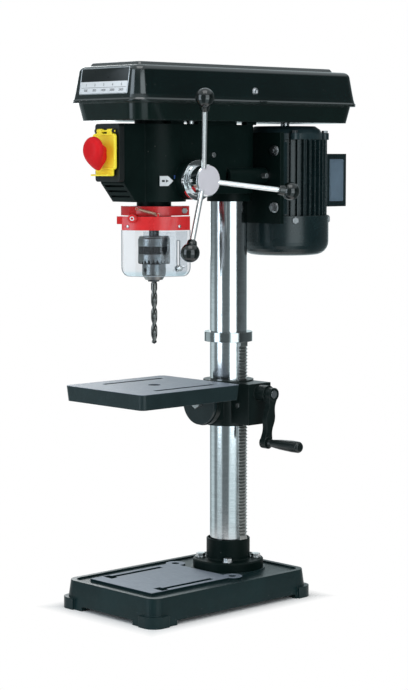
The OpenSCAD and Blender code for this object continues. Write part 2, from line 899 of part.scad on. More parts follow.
module crank_grip() {
    root = grip_root_d/2;
    tip = grip_end_d/2;
    bore = grip_axle_d/2 + fit;
    color(black) translate([0, column_y, crank_z]) rotate([-crank_lean, 0, 0])
        translate([grip_x, 0, -crank_l]) rotate([0, 90, 0]) rotate_extrude() polygon([
            [bore, 0], [root, 0], [root + 0.6, 4], [root + 1.2, grip_l*0.4], [tip, grip_l*0.8],
            [tip, grip_l - 4], [tip - 1.5, grip_l - 1], [tip - 4, grip_l], [bore, grip_l]
        ]);
}

module table_lock() {
    bar_r = 4;
    ball_r = 6.5;
    bar_x = -bracket_d/2 - ball_r - 3;
    screw_l = ear_w/2 + 3 - bar_x;
    color(steel) union() {
        along_x(bar_x - 6, ear_y, ear_z, screw_l + 6, lock_d/2);
        along_x(-ear_w/2 - 6 - gap, ear_y, ear_z, 6, lock_d/2 + 4);
        along_x(bar_x - 7, ear_y, ear_z, 14, lock_d/2 + 3);
        upright(bar_x, ear_y, ear_z - lock_bar_l/2, lock_bar_l, bar_r);
        for (z = [-1, 1])
            translate([bar_x, ear_y, ear_z + z*lock_bar_l/2]) sphere(ball_r);
    }
}

module work_table() {
    low = [table_w - 2*table_draft, table_l - 2*table_draft];
    hollow = low - 2*[table_rim_t, table_rim_t];
    slot_c = table_c + 12;
    color(machined) difference() {
        union() {
            translate([0, table_c, table_bottom]) difference() {
                tapered_block(low, [table_w, table_l], table_t, table_r);
                translate([0, 0, -1]) linear_extrude(table_t - table_slab_t + 1)
                    rounded_square(hollow, table_r - table_rim_t/2);
            }
            upright(0, spindle_y, table_bottom, table_t - 1, table_boss_d/2);
            intersection() {
                along_y(0, table_rear - tilt_flange_t, tilt_z, tilt_flange_t, tilt_r);
                box([-table_w, table_rear - table_l, 0],
                    [table_w, table_rear, table_top - table_slab_t + 1]);
            }
        }
        upright(0, spindle_y, table_bottom - 1, table_t + 2, table_hole_d/2);
        for (x = [-1, 1])
            box([x*table_slot_x - table_slot_w/2, slot_c - table_slot_l/2, table_bottom - 1],
                [x*table_slot_x + table_slot_w/2, slot_c + table_slot_l/2, table_top + 1]);
        along_y(0, table_rear - table_l/2, tilt_z, table_l, tilt_bolt_d/2 + fit);
    }
}

// Head
module head_front() {
    rotate([90, 0, 90]) translate([0, 0, -front_half_w]) linear_extrude(2*front_half_w) polygon([
        [front_y, head_top], [front_y, chin_z], [spindle_y - chin_reach, quill_housing_z],
        [spindle_y - 30, quill_housing_z], [spindle_y - 30, head_top]
    ]);
}

module head_body() {
    upright(0, spindle_y, quill_housing_z, head_top - quill_housing_z, quill_housing_r);
    upright(0, head_rear_c, head_z, head_top - head_z, head_side);
    box([-head_side, spindle_y, head_z], [head_side, head_rear_c, head_top]);
    upright(0, spindle_y, nose_z, quill_housing_z - nose_z + 1, nose_d/2);
    upright(0, column_y, column_boss_z, head_z - column_boss_z + 1, column_boss_d/2);
    upright(0, spindle_y, head_top - 1, bearing_boss_h + 1, pulley_bearing_d/2 + 9);
    head_front();
    along_x(0, feed_y, feed_z, feed_boss_x, feed_boss_d/2);
    along_x(-spring_boss_x, feed_y, feed_z, spring_boss_x, spring_cap_d/2);
    for (x = [-1, 1])
        along_y(x*rod_x, rod_front, rod_z, rod_rear - rod_front, rod_boss_r);
}

module chin_grooves() {
    groove_w = 3;
    for (k = [0:2])
        box([-front_half_w + 5, front_y - 1, chin_z - 6 - 8*k],
            [front_half_w - 5, spindle_y - chin_reach - 1 - 4.6*(2 - k), chin_z - 6 - 8*k + groove_w]);
}

module head_casting() {
    switch_room_x = switch_w/2 - 6 + gap;
    color(paint) difference() {
        head_body();
        upright(0, spindle_y, nose_z - 1, quill_bore_top - nose_z + 1, quill_bore_r);
        upright(0, spindle_y, nose_z, bearing_boss_h + head_top, sleeve_r + 3.5);
        upright(0, spindle_y, bearing_seat_z, bearing_boss_h + 20, pulley_bearing_d/2 + fit);
        along_x(-column_d*2, feed_y, feed_z, column_d*4, feed_d/2 + fit);
        upright(0, column_y, column_boss_z - 1, column_top - column_boss_z + 3, column_r + fit);
        box([-cavity_half_w, cavity_front, head_z - 12],
            [cavity_half_w, cavity_front + cavity_l, head_top - 10]);
        box([-switch_room_x, front_y - 1, switch_z + 12],
            [switch_room_x, front_y + 32, switch_z + switch_h - 12]);
        chin_grooves();
        upright(-idler_pivot_x, idler_y, head_top - 31, 32, 7 + fit);
        for (x = [-1, 1]) {
            along_y(x*rod_x, rod_front - 1, rod_z, rod_rear - rod_front + 20, rod_d/2 + fit);
            for (y = pan_screw_ys)
                upright(x*pan_screw_x, y, head_top - 16, 20, 2.5 + fit);
        }
        along_x(cavity_half_w - 1, side_screw_y, side_screw_z, 20, 4 + fit);
        along_x(rod_x, lock_y, rod_z, 30, 4 + fit);
        for (z = column_screw_zs)
            along_x(-head_side - 20, column_y, z, head_side, 4 + fit);
    }
}

module pulley_bearings() {
    color(steel) for (k = [0, 1])
        translate([0, spindle_y, bearing_seat_z + k*(pulley_bearing_w + 6)]) difference() {
            cylinder(h = pulley_bearing_w, r = pulley_bearing_d/2);
            translate([0, 0, -1]) cylinder(h = pulley_bearing_w + 2, r = sleeve_r + fit);
        }
}

module pan_screw() {
    spacer_r = 6;
    translate([0, 0, head_top]) cylinder(h = pan_z - head_top, r = spacer_r);
    translate([0, 0, head_top - 15]) cylinder(h = 15 + pan_z - head_top + cover_t, r = 2.5);
    translate([0, 0, pan_z + cover_t]) cylinder(h = 3, r = 5);
}

module guard_frame() {
    translate([0, spindle_y, 0]) rotate(guard_turn) children();
}

module guard_bolts() {
    guard_frame() {
        along_y(-pivot_x, -tab_front - 20 - 2*gap, pivot_z, 32 + 2*gap, pivot_d/2);
        translate([-pivot_x, -tab_front - 20 - 2*gap, pivot_z]) rotate([90, 0, 0]) hex_prism(5.5, 4);
        along_y(clamp_x, -12, guard_collar_z + guard_collar_h/2, 24, 2.5);
        translate([clamp_x, -9, guard_collar_z + guard_collar_h/2]) rotate([90, 0, 0]) hex_prism(4.6, 4);
    }
}

module frame_screws() {
    color(steel) {
        for (x = [-1, 1], y = pan_screw_ys)
            translate([x*pan_screw_x, y, 0]) pan_screw();
        translate([0, column_y, 0]) rotate(guard_turn + 90)
            along_x(column_r + fit, 0, collar_z + collar_h - 2.9, collar_d/2 - column_r - 1, 2);
        along_x(cavity_half_w, side_screw_y, side_screw_z, head_side - cavity_half_w + 3, 4);
        along_x(rod_x + rod_d/2 + fit, lock_y, rod_z, rod_boss_r - rod_d/2 + 9, 4);
        for (z = column_screw_zs)
            along_x(-head_side - 4, column_y, z, head_side + 4 - column_r - fit, 4);
        guard_bolts();
    }
}

// Quill, spindle and chuck
module quill_rack() {
    count = floor((quill_top - feed_z)/pinion_pitch);
    flat = quill_rack_y + pinion_module*0.9;
    for (i = [-1:count])
        rotate([90, 0, 90]) translate([0, 0, -quill_d/2]) linear_extrude(quill_d)
            polygon(concat(rack_gap(pinion_module, quill_rack_y + pinion_module, feed_z + i*pinion_pitch),
                [[quill_d, feed_z + i*pinion_pitch + pinion_pitch/2.4],
                 [quill_d, feed_z + i*pinion_pitch - pinion_pitch/2.4]]));
    box([-quill_d/2, flat, feed_z - 1.5*pinion_pitch],
        [quill_d/2, quill_d, feed_z + (count + 0.5)*pinion_pitch]);
}

module quill() {
    color(steel) translate([0, spindle_y, 0]) difference() {
        upright(0, 0, quill_z, quill_l, quill_d/2);
        upright(0, 0, quill_z - 1, quill_l + 2, quill_bore_d/2);
        for (z = [quill_z - 1, quill_top - quill_bearing_w])
            upright(0, 0, z, quill_bearing_w + 1, quill_bearing_d/2 + fit);
        quill_rack();
    }
}

module quill_bearings() {
    color(steel) for (z = [quill_z, quill_top - quill_bearing_w])
        translate([0, spindle_y, z]) difference() {
            cylinder(h = quill_bearing_w, r = quill_bearing_d/2);
            translate([0, 0, -1]) cylinder(h = quill_bearing_w + 2, r = spindle_r + fit);
        }
}

module spindle() {
    spline_top = pulley_z + 4*step_h;
    color(steel) translate([0, spindle_y, 0]) {
        upright(0, 0, spindle_socket_z, quill_top - spindle_socket_z, spindle_r);
        upright(0, 0, chuck_top, quill_z - gap - chuck_top, spindle_r + 0.01);
        upright(0, 0, quill_top, spline_top - quill_top, spline_d/2);
    }
}

// A chuck jaw's place: its axis leans out from the bit as it rises
module jaw_place(k) {
    translate([0, spindle_y, 0]) rotate(90 + 120*k) translate([jaw_axis_r, 0, chuck_z])
        rotate([0, jaw_lean, 0]) children();
}

module chuck_body() {
    color(steel) difference() {
        translate([0, spindle_y, 0]) rotate_extrude() polygon([
            [0, chuck_z], [chuck_nose_d/2 - 5, chuck_z], [chuck_nose_d/2, chuck_z + 8],
            [chuck_nose_d/2, chuck_z + chuck_nose_h], [chuck_core_r, chuck_z + chuck_nose_h],
            [chuck_core_r, sleeve_top + gap], [chuck_d/2 - 1, sleeve_top + gap],
            [chuck_d/2 - 1, chuck_top - 1], [chuck_d/2 - 2, chuck_top], [0, chuck_top]
        ]);
        upright(0, spindle_y, chuck_z - 1, shank_top - chuck_z + 2, bit_r + 1.2);
        upright(0, spindle_y, spindle_socket_z - 1, chuck_top, spindle_r + 0.01 + fit);
        for (k = [0:2]) {
            jaw_place(k) translate([0, 0, -20]) cylinder(h = jaw_bore_l, r = jaw_r + fit);
            translate([0, spindle_y, chuck_z + chuck_nose_h - 9]) rotate(30 + 120*k)
                along_x(chuck_nose_d/2 - 7, 0, 0, 20, 3.2);
        }
    }
}

module chuck_jaw(k) {
    color(steel) difference() {
        jaw_place(k) translate([0, 0, -6]) cylinder(h = jaw_l + 6, r = jaw_r);
        upright(0, spindle_y, chuck_z - 30, 90, bit_r + fit);
        box([-chuck_d, spindle_y - chuck_d, 0], [chuck_d, spindle_y + chuck_d, chuck_z - jaw_out]);
    }
}

module chuck_jaw_a() { chuck_jaw(0); }
module chuck_jaw_b() { chuck_jaw(1); }
module chuck_jaw_c() { chuck_jaw(2); }

module chuck_sleeve() {
    teeth = 30;
    nose_bore = chuck_core_r + fit;
    color(iron) translate([0, spindle_y, 0]) difference() {
        rotate_extrude() polygon([
            [nose_bore, sleeve_z], [chuck_d/2 - 3, sleeve_z], [chuck_d/2, sleeve_z + 5],
            [chuck_d/2, sleeve_top - 1.5], [chuck_d/2 - 1.5, sleeve_top], [nose_bore, sleeve_top],
            [nose_bore, sleeve_top - 4], [chuck_cavity_r, sleeve_top - 7],
            [chuck_cavity_r, sleeve_z + 8], [nose_bore, sleeve_z + 5]
        ]);
        for (k = [0:teeth - 1])
            rotate(k*360/teeth) translate([chuck_d/2 - 1, 0, sleeve_z + 2])
                rotate([0, 31, 0]) cube([2.6, 2.2, 12], center = true);
    }
}

module flute_profile() {
    difference() {
        circle(bit_r, $fn = 20);
        for (x = [-1, 1])
            translate([x*bit_r*0.95, 0]) circle(bit_r*0.66, $fn = 12);
    }
}

module drill_bit() {
    tip_h = bit_r*0.6;
    color(iron) translate([0, spindle_y, 0]) {
        intersection() {
            translate([0, 0, bit_tip_z]) linear_extrude(flute_l, twist = -360*flute_l/(bit_d*flute_pitch),
                slices = 30, $fn = 12) flute_profile();
            translate([0, 0, bit_tip_z]) union() {
                cylinder(h = tip_h, r1 = 0.2, r2 = bit_r + 0.1);
                translate([0, 0, tip_h]) cylinder(h = flute_l, r = bit_r + 0.1);
            }
        }
        upright(0, 0, bit_tip_z + flute_l, shank_top - bit_tip_z - flute_l, bit_r);
    }
}

// Feed
module feed_shaft() {
    core_r = pinion_r - 1.2*pinion_module;
    left_x = -(spring_boss_x + spring_cap_w - 3);
    color(steel) {
        translate([-pinion_half_w, feed_y, feed_z]) rotate([90, 0, 90])
            linear_extrude(2*pinion_half_w) rotate(180) gear_2d(pinion_module, pinion_teeth);
        along_x(-journal_x, feed_y, feed_z, 2*journal_x, core_r - 0.1);
        along_x(journal_x, feed_y, feed_z, feed_boss_x - journal_x, feed_d/2);
        along_x(-spring_boss_x, feed_y, feed_z, spring_boss_x - journal_x, feed_d/2);
        along_x(feed_boss_x, feed_y, feed_z, hub_x + hub_l - feed_boss_x, hub_bore_r);
        along_x(left_x, feed_y, feed_z, -spring_boss_x - left_x, arbor_r);
    }
}

module lever_place(k) {
    translate([hub_mid_x, feed_y, feed_z]) rotate([lever_turn + 120*k, 0, 0])
        rotate([0, 0, -lever_tilt]) rotate([-90, 0, 0]) children();
}

module feed_hub() {
    color(steel) difference() {
        union() {
            translate([hub_x, feed_y, feed_z]) rotate([0, 90, 0]) rotate_extrude() polygon([
                [hub_bore_r + fit, 0], [hub_d/2 - 2, 0], [hub_d/2, 2], [hub_d/2, hub_l - 2],
                [hub_d/2 - 2, hub_l], [hub_bore_r + fit, hub_l]
            ]);
            translate([feed_boss_x + gap, feed_y, feed_z]) rotate([0, 90, 0]) difference() {
                cylinder(h = hub_x - feed_boss_x, r = hub_spigot_r);
                translate([0, 0, -1]) cylinder(h = hub_x, r = hub_bore_r + fit);
            }
        }
        for (k = [0:2])
            lever_place(k) translate([0, 0, lever_start]) cylinder(h = hub_d, r = lever_d/2 + fit);
    }
}

module lever_rods() {
    color(steel) for (k = [0:2])
        lever_place(k) translate([0, 0, lever_start + 1])
            cylinder(h = lever_t - lever_start + 3, r = lever_d/2);
}

module lever_knobs() {
    neck_r = 8;
    neck_l = 21;
    color(black) for (k = [0:2])
        lever_place(k) translate([0, 0, lever_t]) difference() {
            union() {
                sphere(ball_d/2);
                translate([0, 0, -neck_l]) cylinder(h = neck_l, r1 = neck_r - 1, r2 = neck_r + 1);
            }
            translate([0, 0, -neck_l - 1]) cylinder(h = neck_l + 5, r = lever_d/2 + fit);
        }
}

module depth_ring() {
    x = feed_boss_x + gap;
    color(steel) difference() {
        along_x(x, feed_y, feed_z, depth_ring_w, depth_ring_d/2);
        along_x(x - 1, feed_y, feed_z, depth_ring_w + 2, hub_spigot_r + fit);
    }
}

module spring_cap() {
    color(paint) translate([-spring_boss_x, feed_y, feed_z]) rotate([0, -90, 0]) difference() {
        cylinder(h = spring_cap_w, r = spring_cap_d/2);
        translate([0, 0, -1])
            cylinder(h = spring_cap_w - spring_cap_t + 1, r = spring_cap_d/2 - spring_cap_t);
    }
}

function strip_r(turn) = arbor_r + fit
    + turn*(spring_cap_d/2 - spring_cap_t - arbor_r - strip_t - 2*fit)/return_turns;

module return_spring() {
    steps = 20;
    turns = [for (i = [0:return_turns*steps]) i/steps];
    inner = [for (t = turns) polar(strip_r(t), 360*t)];
    outer = [for (i = [len(turns) - 1:-1:0]) polar(strip_r(turns[i]) + strip_t, 360*turns[i])];
    color(steel) translate([spring_x, feed_y, feed_z]) rotate([0, -90, 0])
        linear_extrude(spring_w) polygon(concat(inner, outer));
}

// Belt cover and drive
module pan_hinge_ears() {
    for (y = hinge_ys, s = [-1, 1])
        translate([0, y + s*(knuckle_l/2 + gap + pan_ear_l/2), 0]) difference() {
            union() {
                along_y(hinge_x, -pan_ear_l/2, hinge_z, pan_ear_l, hinge_r);
                box([hinge_x, -pan_ear_l/2, lip_z - lip_t], [4 - lip_w/2, pan_ear_l/2, lip_z]);
            }
            along_y(hinge_x, -pan_ear_l, hinge_z, 2*pan_ear_l, hinge_pin_r + fit);
        }
}

module belt_pan() {
    inner = [pan_w - 2*cover_t, pan_l - 2*cover_t];
    color(paint) difference() {
        union() {
            translate([0, cover_c, pan_z])
                tapered_block([pan_w, pan_l - 2*pan_flare], [lid_w, pan_l], pan_h, cover_r);
            translate([0, cover_c, lip_z - lip_t]) linear_extrude(lip_t)
                rounded_square([lip_w, lip_l], cover_r + pan_margin/2);
            pan_hinge_ears();
        }
        translate([0, cover_c, pan_z + cover_t])
            tapered_block(inner - [0, 2*pan_flare], inner + [2*pan_flare, 0], pan_h, cover_r - cover_t);
        upright(0, spindle_y, pan_z - 1, 10, pulley_bearing_d/2 + 10);
        upright(-idler_pivot_x, idler_y, pan_z - 1, 10, 8);
        translate([0, motor_y, pan_z - 1]) linear_extrude(10) {
            circle(shaft_r + 22);
            translate([-shaft_r - 10, -motor_slide_front - 14])
                square([2*shaft_r + 20, motor_slide_front + motor_slide_back + 28]);
        }
        for (x = [-1, 1], y = pan_screw_ys)
            upright(x*pan_screw_x, y, pan_z - 1, 10, 2.5 + fit);
    }
}

module lid_form(inset, base_z, shoulder_z, top_z) {
    edge = [lid_w - 2*inset, pan_l - 2*inset];
    r = cover_r - inset;
    side_lean = 6;
    round_over = 8;
    panel = edge - [2*panel_inset, panel_inset + panel_rear];
    hull() {
        slab(edge, r, base_z, 0.01);
        slab(edge - 2*[side_lean, side_lean], r, shoulder_z - round_over, 0.01);
        slab(edge - 2*[side_lean + 1.8, side_lean + 1.8], r, shoulder_z - round_over/3, 0.01);
        slab(edge - 2*[side_lean + round_over, side_lean + round_over], r, shoulder_z - 0.01, 0.01);
    }
    translate([0, (panel_inset - panel_rear)/2, 0]) hull() {
        slab(panel + [8, 8], r, shoulder_z - 1, 0.01);
        slab(panel + [5, 5], r, shoulder_z + 0.7*(top_z - shoulder_z), 0.01);
        slab(panel, r, top_z - 0.01, 0.01);
    }
}

module lid_knuckles() {
    for (y = hinge_ys) {
        along_y(hinge_x, y - knuckle_l/2, hinge_z, knuckle_l, hinge_r);
        along_y(hinge_x, y - knuckle_l/2 - pan_ear_l, hinge_z, knuckle_l + 2*pan_ear_l, hinge_pin_r);
        box([hinge_x, y - knuckle_l/2, lid_z], [cover_t/2 - lid_w/2, y + knuckle_l/2, hinge_z + hinge_r]);
    }
}

module belt_lid() {
    color(paint) {
        translate([0, cover_c, 0]) difference() {
            lid_form(0, lid_z, lid_shoulder, lid_top);
            lid_form(cover_t, lid_z - 1, lid_shoulder - cover_t, lid_top - cover_t);
        }
        lid_knuckles();
    }
}

module spindle_pulley() {
    color(steel) translate([0, spindle_y, pulley_z])
        step_pulley(step_ds_down, spline_d/2 + fit, sleeve_r, pulley_z - bearing_seat_z);
}

module idler_arm() {
    arm_r = 14;
    arm_t = pulley_z - gap - idler_arm_z;
    pivot_bottom = head_top - 30;
    color(iron) {
        upright(-idler_pivot_x, idler_y, pivot_bottom, idler_arm_z - pivot_bottom + 1, 7);
        translate([-idler_pivot_x, idler_y, idler_arm_z]) linear_extrude(arm_t) rotate(-90)
            tangent_link(arm_r, arm_r, idler_pivot_x);
        upright(0, idler_y, idler_arm_z + 1, pulley_z + 4*step_h - idler_arm_z, idler_post_d/2);
    }
}

module idler_pulley() {
    color(steel) translate([0, idler_y, pulley_z]) step_pulley(step_ds, idler_post_d/2 + fit, 20, 0);
}

module front_belt() {
    color(black) belt_loop(step_ds_down[front_belt_step], step_ds[front_belt_step],
        spindle_y, idler_y, front_belt_step);
}

module rear_belt() {
    color(black) belt_loop(step_ds[rear_belt_step], step_ds_down[rear_belt_step],
        idler_y, motor_y, rear_belt_step);
}

// Motor
module motor_rotor() {
    blades = 8;
    fan_r = cowl_r - 12;
    color(steel) translate([0, motor_y, 0]) {
        upright(0, 0, cowl_z + 14, pulley_z + 4*step_h - cowl_z - 14, shaft_r);
        upright(0, 0, motor_z + 30, motor_top - motor_z - 60, motor_shell_r - 8);
        upright(0, 0, motor_z - 22, 4, fan_r);
        for (k = [0:blades - 1])
            rotate(k*360/blades) box([shaft_r - 1, -1.5, motor_z - 40], [fan_r - 2, 1.5, motor_z - 20]);
    }
}

module motor_pulley() {
    color(steel) translate([0, motor_y, pulley_z]) step_pulley(step_ds_down, shaft_r + fit, 20, 0);
}

function fin_points(n) = [for (k = [0:n - 1])
    let (a = 360*k/n, w = tooth_turn(3.4, fin_root_r), t = tooth_turn(2.4, fin_r))
    each [polar(fin_root_r, a - w), polar(fin_r, a - t), polar(fin_r, a + t), polar(fin_root_r, a + w)]];

module motor_body() {
    foot_x = motor_bolt_x + 10;
    h = motor_h;
    color(paint) difference() {
        union() {
            translate([0, motor_y, motor_z]) linear_extrude(h) polygon(fin_points(fin_count));
            box([-foot_x, plate_y, motor_z + 4], [foot_x, plate_y + foot_t, motor_top - 4]);
            box([-foot_x + 22, plate_y, motor_z + 4],
                [foot_x - 22, motor_y - fin_root_r + 8, motor_top - 4]);
        }
        upright(0, motor_y, motor_z + motor_floor_t, h, motor_shell_r);
        upright(0, motor_y, motor_z - 1, h, shaft_r + fit);
        for (x = [-1, 1], z = motor_bolt_zs)
            along_y(x*motor_bolt_x, plate_y - 1, z, foot_t + 2, 4 + fit);
    }
}

module motor_bell() {
    color(paint) translate([0, motor_y, motor_top]) difference() {
        union() {
            rotate_extrude() polygon([
                [shaft_r + fit, 0], [fin_root_r, 0], [fin_root_r, bell_h*0.45],
                [fin_root_r - 4, bell_h*0.75],
                [fin_root_r - 12, bell_h], [shaft_r + fit, bell_h]
            ]);
            for (a = tie_angles)
                rotate(a) upright(tie_r - 1, 0, 0, bell_h*0.5, 8);
        }
        for (a = tie_angles)
            rotate(a) upright(tie_r, 0, -1, bell_h, 3 + fit);
        translate([0, 0, -1]) cylinder(h = bell_h - 7, r = motor_shell_r - 4);
    }
}

module fan_cowl() {
    vents = 8;
    color(paint) translate([0, motor_y, cowl_z]) difference() {
        rotate_extrude() polygon(concat(
            [[0, 0]],
            [for (a = [-90:15:0]) [cowl_r - cowl_round, cowl_round] + polar(cowl_round, a)],
            [[cowl_r, cowl_h], [fin_root_r - 6, cowl_h], [fin_root_r - 6, cowl_h - cowl_t],
                [cowl_r - cowl_t, cowl_h - cowl_t]],
            [for (a = [0:-15:-90]) [cowl_r - cowl_round, cowl_round] + polar(cowl_round - cowl_t, a)],
            [[0, cowl_t]]));
        for (k = [0:vents - 1])
            rotate(k*360/vents) box([14, -3.5, -1], [cowl_r - cowl_round - 4, 3.5, cowl_t + 1]);
        for (a = tie_angles)
            rotate(a) along_x(cowl_r - 8, 0, cowl_h - 7, 20, 3 + fit);
    }
}

module capacitor_box() {
    rear = motor_y + capacitor_reach;
    seat = motor_y + fin_r + gap;
    panel_d = 2;
    color(paint) difference() {
        union() {
            translate([0, (rear + seat)/2, capacitor_z]) linear_extrude(capacitor_h)
                rounded_square([capacitor_w, rear - seat], 7);
            box([-10, motor_y + fin_root_r + 4, capacitor_z + 20],
                [10, seat + 8, capacitor_z + capacitor_h - 20]);
        }
        upright(0, motor_y, motor_z, motor_top - motor_z, fin_r + fit);
        box([capacitor_w/2 - panel_d, seat + 10, capacitor_z + 8],
            [capacitor_w, rear - 9, capacitor_z + capacitor_h - 8]);
    }
}

module motor_plate() {
    color(paint) difference() {
        box([-motor_plate_w/2, plate_front, plate_z], [motor_plate_w/2, plate_y, plate_z + motor_plate_h]);
        for (x = [-1, 1]) {
            along_y(x*rod_x, plate_front - 1, rod_z, motor_plate_t + 2, rod_d/2 + fit);
            for (z = motor_bolt_zs)
                along_y(x*motor_bolt_x, plate_front - 1, z, motor_plate_t + 2, 4 + fit);
        }
    }
}

module motor_bolts() {
    color(steel) {
        for (x = [-1, 1], z = motor_bolt_zs) {
            along_y(x*motor_bolt_x, plate_front - 8, z, motor_plate_t + foot_t + 12, 4);
            translate([x*motor_bolt_x, plate_front, z]) rotate([90, 0, 0]) hex_prism(7.4, 6);
        }
        translate([0, motor_y, 0]) for (a = tie_angles)
            rotate(a) {
                upright(tie_r, 0, motor_top, bell_h*0.5, 3);
                translate([tie_r, 0, motor_top + bell_h*0.5]) hex_prism(5.2, 4);
                translate([cowl_r, 0, cowl_z + cowl_h - 7]) rotate([0, 90, 0]) hex_prism(5.6, 3.6);
                along_x(cowl_r - 5, 0, cowl_z + cowl_h - 7, 6, 3);
            }
    }
}

module slide_rods() {
    color(steel) for (x = [-1, 1])
        along_y(x*rod_x, rod_front + 20, rod_z, plate_y - rod_front - 20, rod_d/2);
}

// Switch
module switch_box() {
    room_x = switch_w/2 - 6;
    rear_l = 30;
    color(black) difference() {
        union() {
            translate([0, front_y, switch_z + switch_h/2]) rotate([90, 0, 0]) linear_extrude(switch_t)
                rounded_square([switch_w, switch_h], 5);
            box([-room_x, front_y - 1, switch_z + 12 + gap],
                [room_x, front_y + rear_l, switch_z + switch_h - 12 - gap]);
            for (x = [-1, 1])
                translate([x*ear_x, 0, 0]) {
                    along_x(-ear_t/2, flap_pivot_y, flap_pivot_z, ear_t, flap_knuckle_r);
                    box([-ear_t/2, flap_pivot_y, flap_pivot_z - flap_knuckle_r],
                        [ear_t/2, switch_front + 1, flap_pivot_z + flap_knuckle_r]);
                }
        }
        for (x = [-1, 1])
            along_x(x*ear_x - ear_t, flap_pivot_y, flap_pivot_z, 2*ear_t, flap_pin_r + fit);
        for (z = button_zs)
            along_y(0, switch_front - 1, z, 20, button_r + fit);
    }
}

module push_button(z) {
    along_y(0, switch_front - 2, z, 14, button_r);
}

module start_button() { color([0.1, 0.5, 0.2]) push_button(button_zs[0]); }
module stop_button() { color(red) push_button(button_zs[1]); }

module switch_flap() {
    inner_l = 2*ear_x - ear_t - 2*gap;
    tab_w = 16;
    tab_h = 10;
    color(yellow) {
        box([-flap_w/2, flap_back - flap_t, flap_z], [flap_w/2, flap_back, flap_z + flap_h]);
        box([-tab_w/2, flap_back - flap_t, flap_z - tab_h], [tab_w/2, flap_back, flap_z + 1]);
        along_x(-inner_l/2, flap_pivot_y, flap_pivot_z, inner_l, flap_knuckle_r);
        along_x(-inner_l/2 - ear_t, flap_pivot_y, flap_pivot_z, inner_l + 2*ear_t, flap_pin_r);
        box([-inner_l/2, flap_pivot_y - flap_knuckle_r, flap_z + flap_h - 1],
            [inner_l/2, flap_pivot_y, flap_pivot_z]);
    }
}

module switch_paddle() {
    flap_front = flap_back - flap_t;
    disc_t = 9;
    centre_z = flap_z + flap_h/2 + 2;
    tail_w = 16;
    color(red) {
        along_y(0, flap_front - paddle_reach, centre_z, disc_t, paddle_d/2);
        translate([0, flap_front - paddle_reach + disc_t, centre_z]) rotate([-90, 0, 0])
            cylinder(h = paddle_reach - disc_t, r1 = paddle_d/2 - 5, r2 = paddle_d/2 - 10);
        rotate([90, 0, 90]) translate([0, 0, -tail_w/2]) linear_extrude(tail_w) polygon([
            [flap_front, centre_z], [flap_front, flap_z - 4], [flap_front - 8, flap_z - 4],
            [flap_front - paddle_reach + 1, centre_z - paddle_d/2 + 3],
            [flap_front - paddle_reach + 1, centre_z]
        ]);
    }
}

// Guard
module guard_collar() {
    ear_half = 9;
    skirt_end = clamp_x - 4;
    tab_x = [-pivot_x - 6, -pivot_x + 8];
    color(red) guard_frame() difference() {
        union() {
            upright(0, 0, guard_collar_z, guard_collar_h, guard_collar_d/2);
            box([guard_collar_d/2 - 4, -ear_half, guard_collar_z],
                [clamp_x + 7, ear_half, guard_top]);
            curved_sheet(skirt_r, band_t, guard_collar_z, guard_collar_h, skirt_r, skirt_end, skirt_back);
            curved_sheet(skirt_r, skirt_r - 20, guard_top - band_t, band_t, skirt_r, skirt_end, skirt_back);
            box([tab_x[0], -tab_front, pivot_z - 9], [tab_x[1], -18, guard_top]);
            along_y(anchor_a[0], anchor_y - 3, anchor_a[2], -anchor_y + 3 - tab_front + 1, anchor_r);
        }
        upright(0, 0, guard_collar_z - 30, 60, guard_collar_r);
        box([guard_collar_r - 5, -1.5, guard_collar_z - 1], [2*clamp_x, 1.5, guard_top + 1]);
        along_y(-pivot_x, -tab_front - 1, pivot_z, 30, pivot_d/2 + fit);
        along_y(clamp_x, -20, guard_collar_z + guard_collar_h/2, 40, 2.5 + fit);
    }
}

// A sheet curved about a line behind the guard's middle
module curved_sheet(r, t, z, h, left, right, back = band_back) {
    intersection() {
        translate([0, back, z]) difference() {
            cylinder(h = h, r = r);
            translate([0, 0, -1]) cylinder(h = h + 2, r = r - t);
        }
        box([-left, -column_d*2, z], [right, 0, z + h]);
    }
}

module sheet_outline(left, right, low, high, corner) {
    translate([(right - left)/2, 0, (low + high)/2]) rotate([90, 0, 0]) linear_extrude(column_d*2)
        rounded_square([left + right, high - low], corner);
}

// Children lie along +X, pointing out of the band
module on_band(x, z) {
    translate([0, band_back, z]) rotate(-90 + asin(x/band_r)) children();
}

module rivet_holes() {
    for (x = rivet_xs)
        on_band(x, rivet_z) along_x(band_r - 10, 0, 0, 20, 2 + fit);
}

module guard_band() {
    tab_l = 7.5;
    tab_y = -(sqrt(pow(band_r, 2) - pow(guard_left, 2)) - band_back);
    boss_y = tab_front + gap;
    boss_l = 20;
    color(red) guard_frame() difference() {
        union() {
            curved_sheet(band_r + band_t, band_t, band_z, band_h, guard_left, guard_right);
            difference() {
                box([-guard_left - tab_l, tab_y - band_t - 1, band_z + band_h - 12],
                    [-guard_left + 2, tab_y - 1, band_z + band_h]);
                upright(0, band_back, band_z, band_h + 1, band_r);
            }
            along_y(-pivot_x, -boss_y - boss_l, pivot_z, boss_l, pivot_boss_r);
            box([anchor_b[0] - 1.5, band_back - band_r - 1.2, band_z + band_h - 4],
                [anchor_b[0] + 1.5, band_back - band_r + 0.8, anchor_b[2] + 1.5]);
            along_y(anchor_b[0], band_back - band_r - 1, anchor_b[2],
                anchor_y + 4 - band_back + band_r, anchor_r);
        }
        along_y(-pivot_x, -boss_y - boss_l - 1, pivot_z, boss_l + 2, pivot_d/2 + fit);
        rivet_holes();
    }
}

module guard_shield() {
    color(clear) guard_frame() difference() {
        intersection() {
            curved_sheet(shield_r, shield_t, shield_z, shield_top - shield_z, guard_left, guard_right);
            sheet_outline(guard_left, guard_right, shield_z, shield_top + 20, 14);
        }
        along_y(-pivot_x, -column_d, pivot_z, column_d, pivot_boss_r + gap);
        rivet_holes();
        on_band(wing_x, wing_z) along_x(shield_r - 10, 0, 0, 20, 2 + fit);
    }
}

